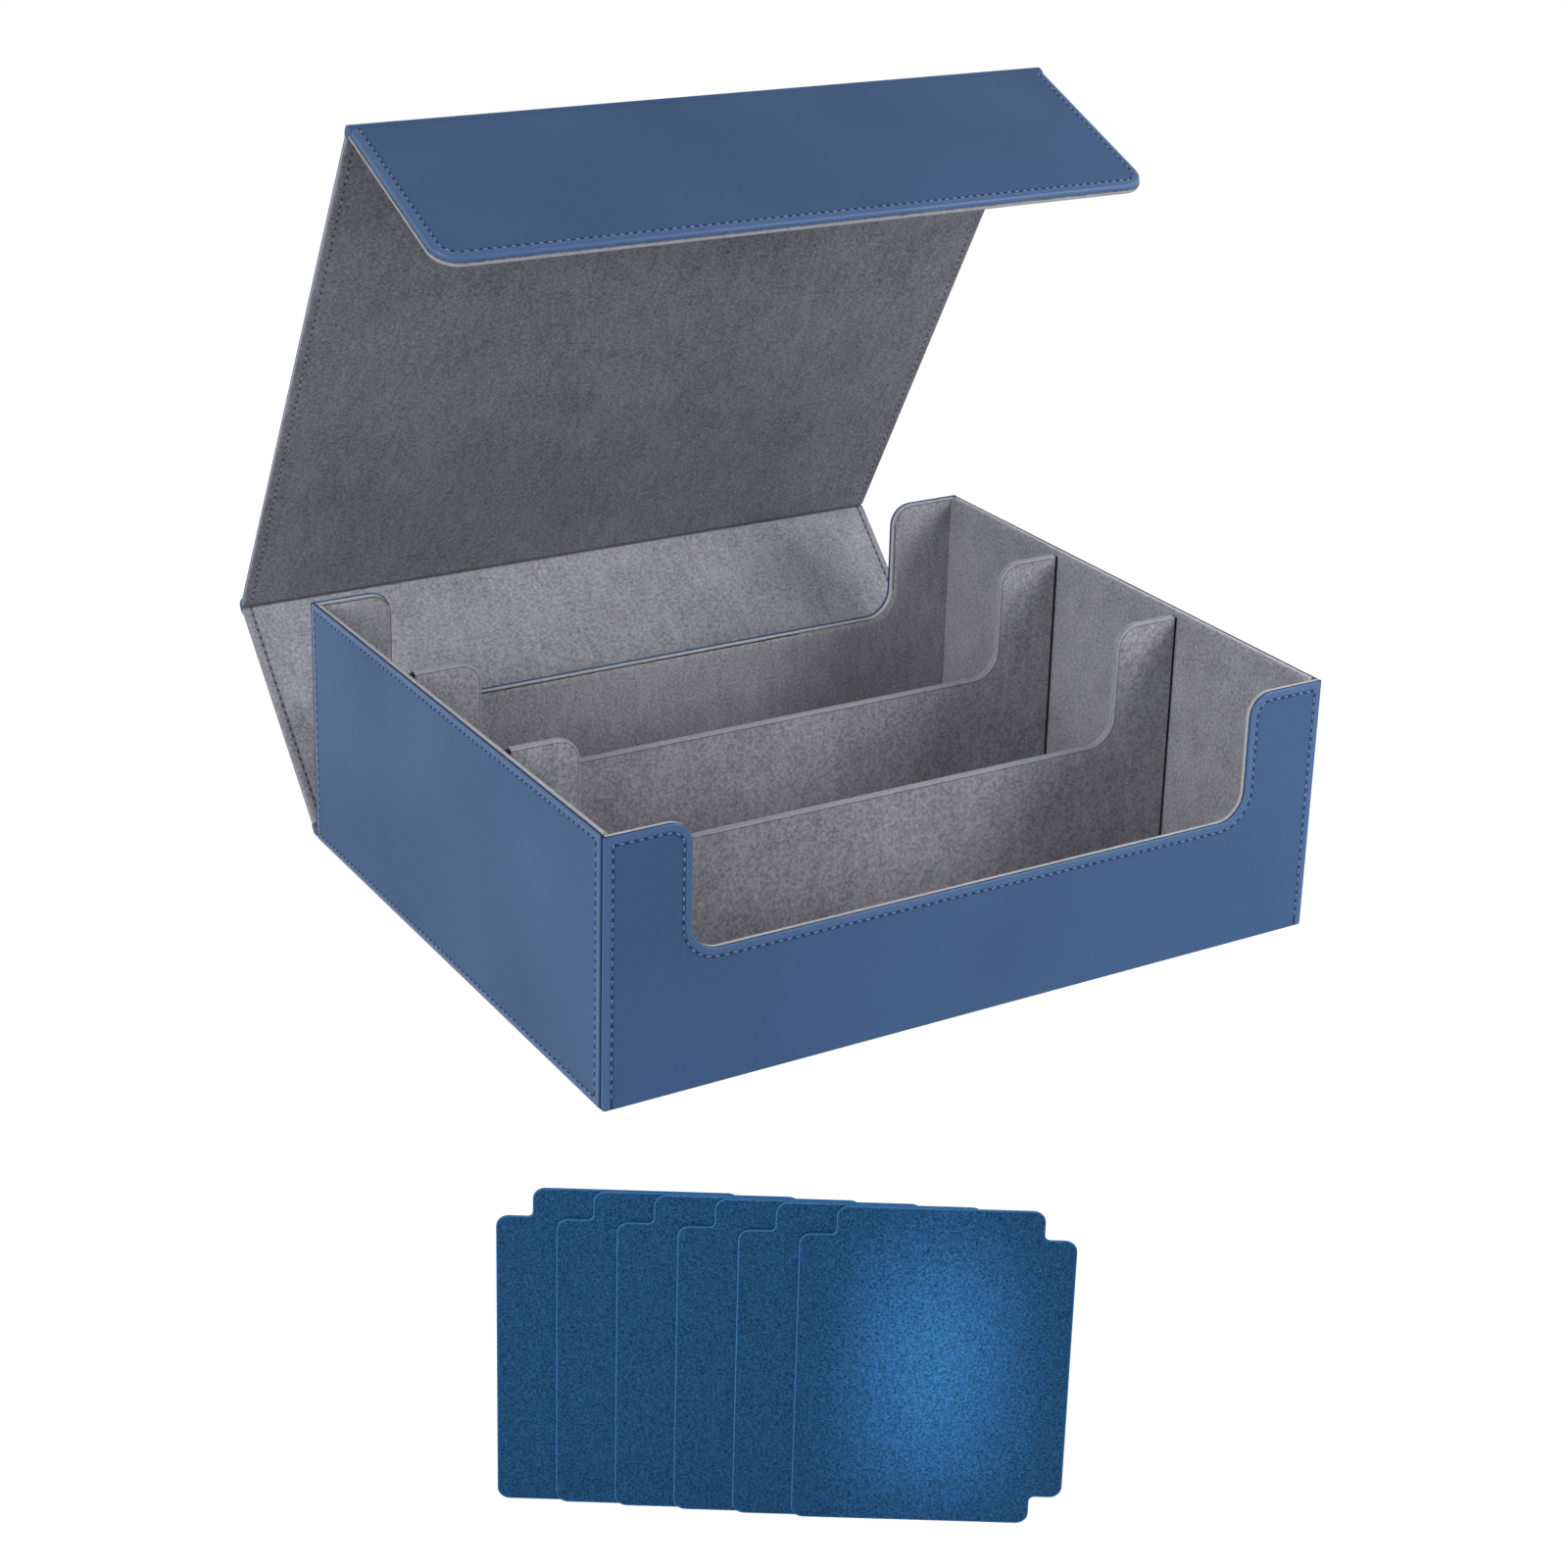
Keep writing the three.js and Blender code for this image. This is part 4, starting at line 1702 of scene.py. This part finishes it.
@dataclass
class Deck:
    """Six divider cards, each notched at three corners, fanned out in front of the tray."""

    count: int = 6
    width: float = 79 * MM
    height: float = 105 * MM
    thickness: float = 0.6 * MM
    gap: float = 0.3 * MM
    step: float = 17.3 * MM
    radius: float = 3.6 * MM
    inner_radius: float = 1.6 * MM
    notch_width: float = 9.4 * MM
    left_notch_width: float = 10.5 * MM
    notch_height: float = 9.3 * MM
    edge_radius: float = 0.16 * MM
    # How wide the lighter rim is, a painted highlight along the card's edge
    rim: float = 0.35 * MM
    # In square metres: more than the rim has in any face, and less than a card's broad sides
    rim_area: float = 0.002

    def outline(self) -> Outline:
        """Draws a card: both top corners and the lower right one are notched for the finger.

        Returns:
            The outline.
        """
        side, top = self.width / 2, self.height
        right = side - self.notch_width
        left = self.left_notch_width - side
        low, high = self.notch_height, top - self.notch_height
        bites = (
            Bite(right, side + RUN_OUT, high, top + RUN_OUT),
            Bite(right, side + RUN_OUT, -RUN_OUT, low),
            Bite(-side - RUN_OUT, left, high, top + RUN_OUT),
        )
        outer = (
            (right, 0), (side, low), (side, high), (right, top), (left, top), (-side, high),
            (-side, 0),
        )
        inner = ((right, low), (right, high), (left, high))
        corners = tuple(
            Corner(x, y, radius)
            for spots, radius in ((outer, self.radius), (inner, self.inner_radius))
            for x, y in spots
        )
        return Outline(-side, side, 0, top, bites, corners)

    def is_rim(self, face: bpy.types.MeshPolygon) -> bool:
        """Says whether a face of a flat-made card belongs to its rim, which takes a painted highlight."""
        return face.area < self.rim_area or abs(face.normal.z) < 0.9

    def build(self) -> None:
        """Builds the cards, each on its own body."""
        joint = next(j for j in frame["joints"] if j["name"] == "deck_tilt")
        across = Vector(joint["axis"])
        turn = math.atan2(across.y, across.x)
        deck = Matrix.Translation(Vector(joint["pos_m"])) @ Matrix.Rotation(turn, 4, "Z")
        outline = self.outline()
        for number in range(1, self.count + 1):
            piece = outline.sheet(f"card_{number}_sheet")
            with editing(piece):
                bpy.ops.mesh.select_all(action="SELECT")
                inset_faces(self.rim, 0)
            modify(piece, "SOLIDIFY", thickness=self.thickness, offset=-1)
            for height in (0, -self.thickness):
                round_over(piece, self.edge_radius, 2, level_edge(height))
            coat(piece, CARD)
            coat(piece, RIM_HIGHLIGHT_CARD, self.is_rim)
            shift = Vector((
                (number - (self.count + 1) / 2) * self.step,
                -self.thickness - (number - 1) * (self.thickness + self.gap), 0,
            ))
            put(piece, deck @ Matrix.Translation(shift) @ UPRIGHT)
            hand_over(piece, f"card_{number}", (f"divider_card_{number}",))


# The pieces of the CAD model that stay, and the studio


def coat_nodes() -> None:
    """Coats the CAD nodes that stay: the boards and the magnets inside the layers."""
    finishes = {Slot.BOARD.value: PRESSED_BOARD, Slot.MAGNET.value: PLATED_STEEL}
    for part in frame["record"]["subparts"]:
        finish = finishes.get(part["material_slot"])
        if finish is not None:
            node = frame["nodes"][part["node"]]
            node.data.materials.clear()
            node.data.materials.append(finish.material())
            log.info("%s keeps its CAD shape", part["node"])


@dataclass(frozen=True)
class Softbox:
    """A soft lamp that the camera doesn't see. A narrow spread stands for a grid in front."""

    name: str
    place: tuple[float, float, float]
    target: tuple[float, float, float]
    width: float
    height: float
    power: float
    spread: float = 180.0

    def hang(self) -> None:
        """Hangs the lamp and turns it to its target."""
        light = bpy.data.lights.new(self.name, "AREA")
        light.shape = "RECTANGLE"
        light.size, light.size_y = self.width, self.height
        light.energy = self.power
        light.spread = math.radians(self.spread)
        lamp = bpy.data.objects.new(self.name, light)
        lamp.location = self.place
        back = Vector(self.place) - Vector(self.target)
        lamp.rotation_euler = back.to_track_quat("Z", "Y").to_euler()
        lamp.visible_camera = False
        bpy.context.scene.collection.objects.link(lamp)


SOFTBOXES = (
    Softbox("left_softbox", (-1.7, -0.6, 0.9), (0, 0, 0.15), 1.0, 1.0, 21.0),
    Softbox("right_softbox", (0.5, -0.65, 0.42), (0, 0, 0.15), 0.35, 0.35, 3.5),
    Softbox("side_softbox", (1.1, -0.35, 0.8), (0, 0, 0.15), 0.35, 0.35, 2.5),
    Softbox("rear_softbox", (0.35, 1.9, 0.72), (0, 0.2, 0.2), 1.0, 0.8, 14.0),
    Softbox(
        "card_striplight", (-0.322, -0.6, 0.1), (-0.19, -0.389, 0.052), 0.012, 0.07, 0.009, 16.0
    ),
)


@dataclass
class Studio:
    """A white floor, soft light from the left and the right, and the photograph's camera."""

    floor_size: float = 8.0
    floor_drop: float = 0.2 * MM
    floor_bounce: float = 0.8
    shadow_bounce: float = 0.4
    shadow_glow: float = 0.86
    shadow_reach: tuple[float, float] = (0.6, 1.2)
    world_tint: tuple[float, float, float, float] = (0.96, 0.98, 1, 1)
    world_strength: float = 0.13
    azimuth: float = -31.809
    elevation: float = 19.272
    roll: float = 1.747
    distance: float = 1.2419
    target_height: float = 0.1497
    sensor: float = 36
    lens: float = 69.12
    shift_x: float = -0.01556
    shift_y: float = -0.1489
    clip_start: float = 0.05

    def where_seen(self, tree: Tree, lit: Socket, seen: Socket, output: str) -> None:
        """Ends a tree in what lights the box, and in what shows where the backdrop is seen.

        Args:
            tree: the node tree.
            lit: the shader that lights the box.
            seen: the shader for the rays of the camera, a gloss or glass.
            output: Blender's name of the output node type.
        """
        rays = add_node(tree, "ShaderNodeLightPath").node.outputs
        share = rays["Is Camera Ray"]
        for ray in ("Is Glossy Ray", "Is Transmission Ray"):
            share = add_node(
                tree, "ShaderNodeMath", {"operation": "MAXIMUM"}, {0: share, 1: rays[ray]}
            )
        mixed = add_node(tree, "ShaderNodeMixShader", links={0: share, 1: lit, 2: seen})
        add_node(tree, output, links={"Surface": mixed})

    def floor(self) -> None:
        """Lays the white floor, which keeps a soft shadow."""
        deselect_all()
        bpy.ops.mesh.primitive_plane_add(size=self.floor_size, location=(0, 0, -self.floor_drop))
        floor = settle(bpy.context.object)
        floor.name = "studio_floor"
        material = empty_material("white_studio_floor")
        tree = material.node_tree
        lit, shade = (
            add_node(tree, "ShaderNodeBsdfDiffuse", {"Color": (tone, tone, tone, 1)})
            for tone in (self.floor_bounce, self.shadow_bounce)
        )
        glow, white = (
            add_node(tree, "ShaderNodeEmission", {"Color": WHITE, "Strength": power})
            for power in (self.shadow_glow, 1.0)
        )
        near = add_node(tree, "ShaderNodeAddShader", links={0: shade, 1: glow})
        place = add_node(tree, "ShaderNodeTexCoord", output="Object")
        distance = add_node(
            tree, "ShaderNodeVectorMath", {"operation": "LENGTH"}, {0: place}, "Value"
        )
        start, end = self.shadow_reach
        far = add_node(
            tree, "ShaderNodeMapRange", {"From Min": start, "From Max": end},
            {"Value": distance},
        )
        seen = add_node(
            tree, "ShaderNodeMixShader", links={0: far, 1: near, 2: white}
        )
        self.where_seen(tree, lit, seen, "ShaderNodeOutputMaterial")
        floor.data.materials.append(material)

    def sky(self) -> None:
        """Surrounds the scene with even soft light, and with white where it is seen."""
        world = bpy.data.worlds.new("studio")
        world.use_nodes = True
        tree = world.node_tree
        tree.nodes.clear()
        soft, white = (
            add_node(tree, "ShaderNodeBackground", {"Color": tint, "Strength": power})
            for tint, power in ((self.world_tint, self.world_strength), (WHITE, 1.0))
        )
        self.where_seen(tree, soft, white, "ShaderNodeOutputWorld")
        bpy.context.scene.world = world

    def camera(self) -> None:
        """Sets up the camera from which the photograph was taken."""
        data = bpy.data.cameras.new("photograph")
        data.sensor_width, data.lens = self.sensor, self.lens
        data.shift_x, data.shift_y = self.shift_x, self.shift_y
        data.clip_start = self.clip_start
        camera = bpy.data.objects.new("photograph", data)
        azimuth, elevation = math.radians(self.azimuth), math.radians(self.elevation)
        back = Vector((
            math.sin(azimuth) * math.cos(elevation), -math.cos(azimuth) * math.cos(elevation),
            math.sin(elevation),
        ))
        camera.location = Vector((0, 0, self.target_height)) + back * self.distance
        camera.rotation_mode = "QUATERNION"
        roll = Quaternion(UP, math.radians(self.roll))
        camera.rotation_quaternion = back.to_track_quat("Z", "Y") @ roll
        bpy.context.scene.collection.objects.link(camera)
        bpy.context.scene.camera = camera

    def build(self) -> None:
        """Sets up the camera, floor and light."""
        self.camera()
        self.floor()
        self.sky()
        for softbox in SOFTBOXES:
            softbox.hang()
        bpy.context.scene.view_settings.view_transform = "Standard"


def main() -> None:
    """Builds the studio and the box's sub-assemblies in order."""
    logging.basicConfig(level=logging.INFO, format="%(message)s")
    Studio().build()
    coat_nodes()
    Tray().build()
    Cover().build()
    Deck().build()
    deselect_all()


if __name__ == "__main__":
    main()
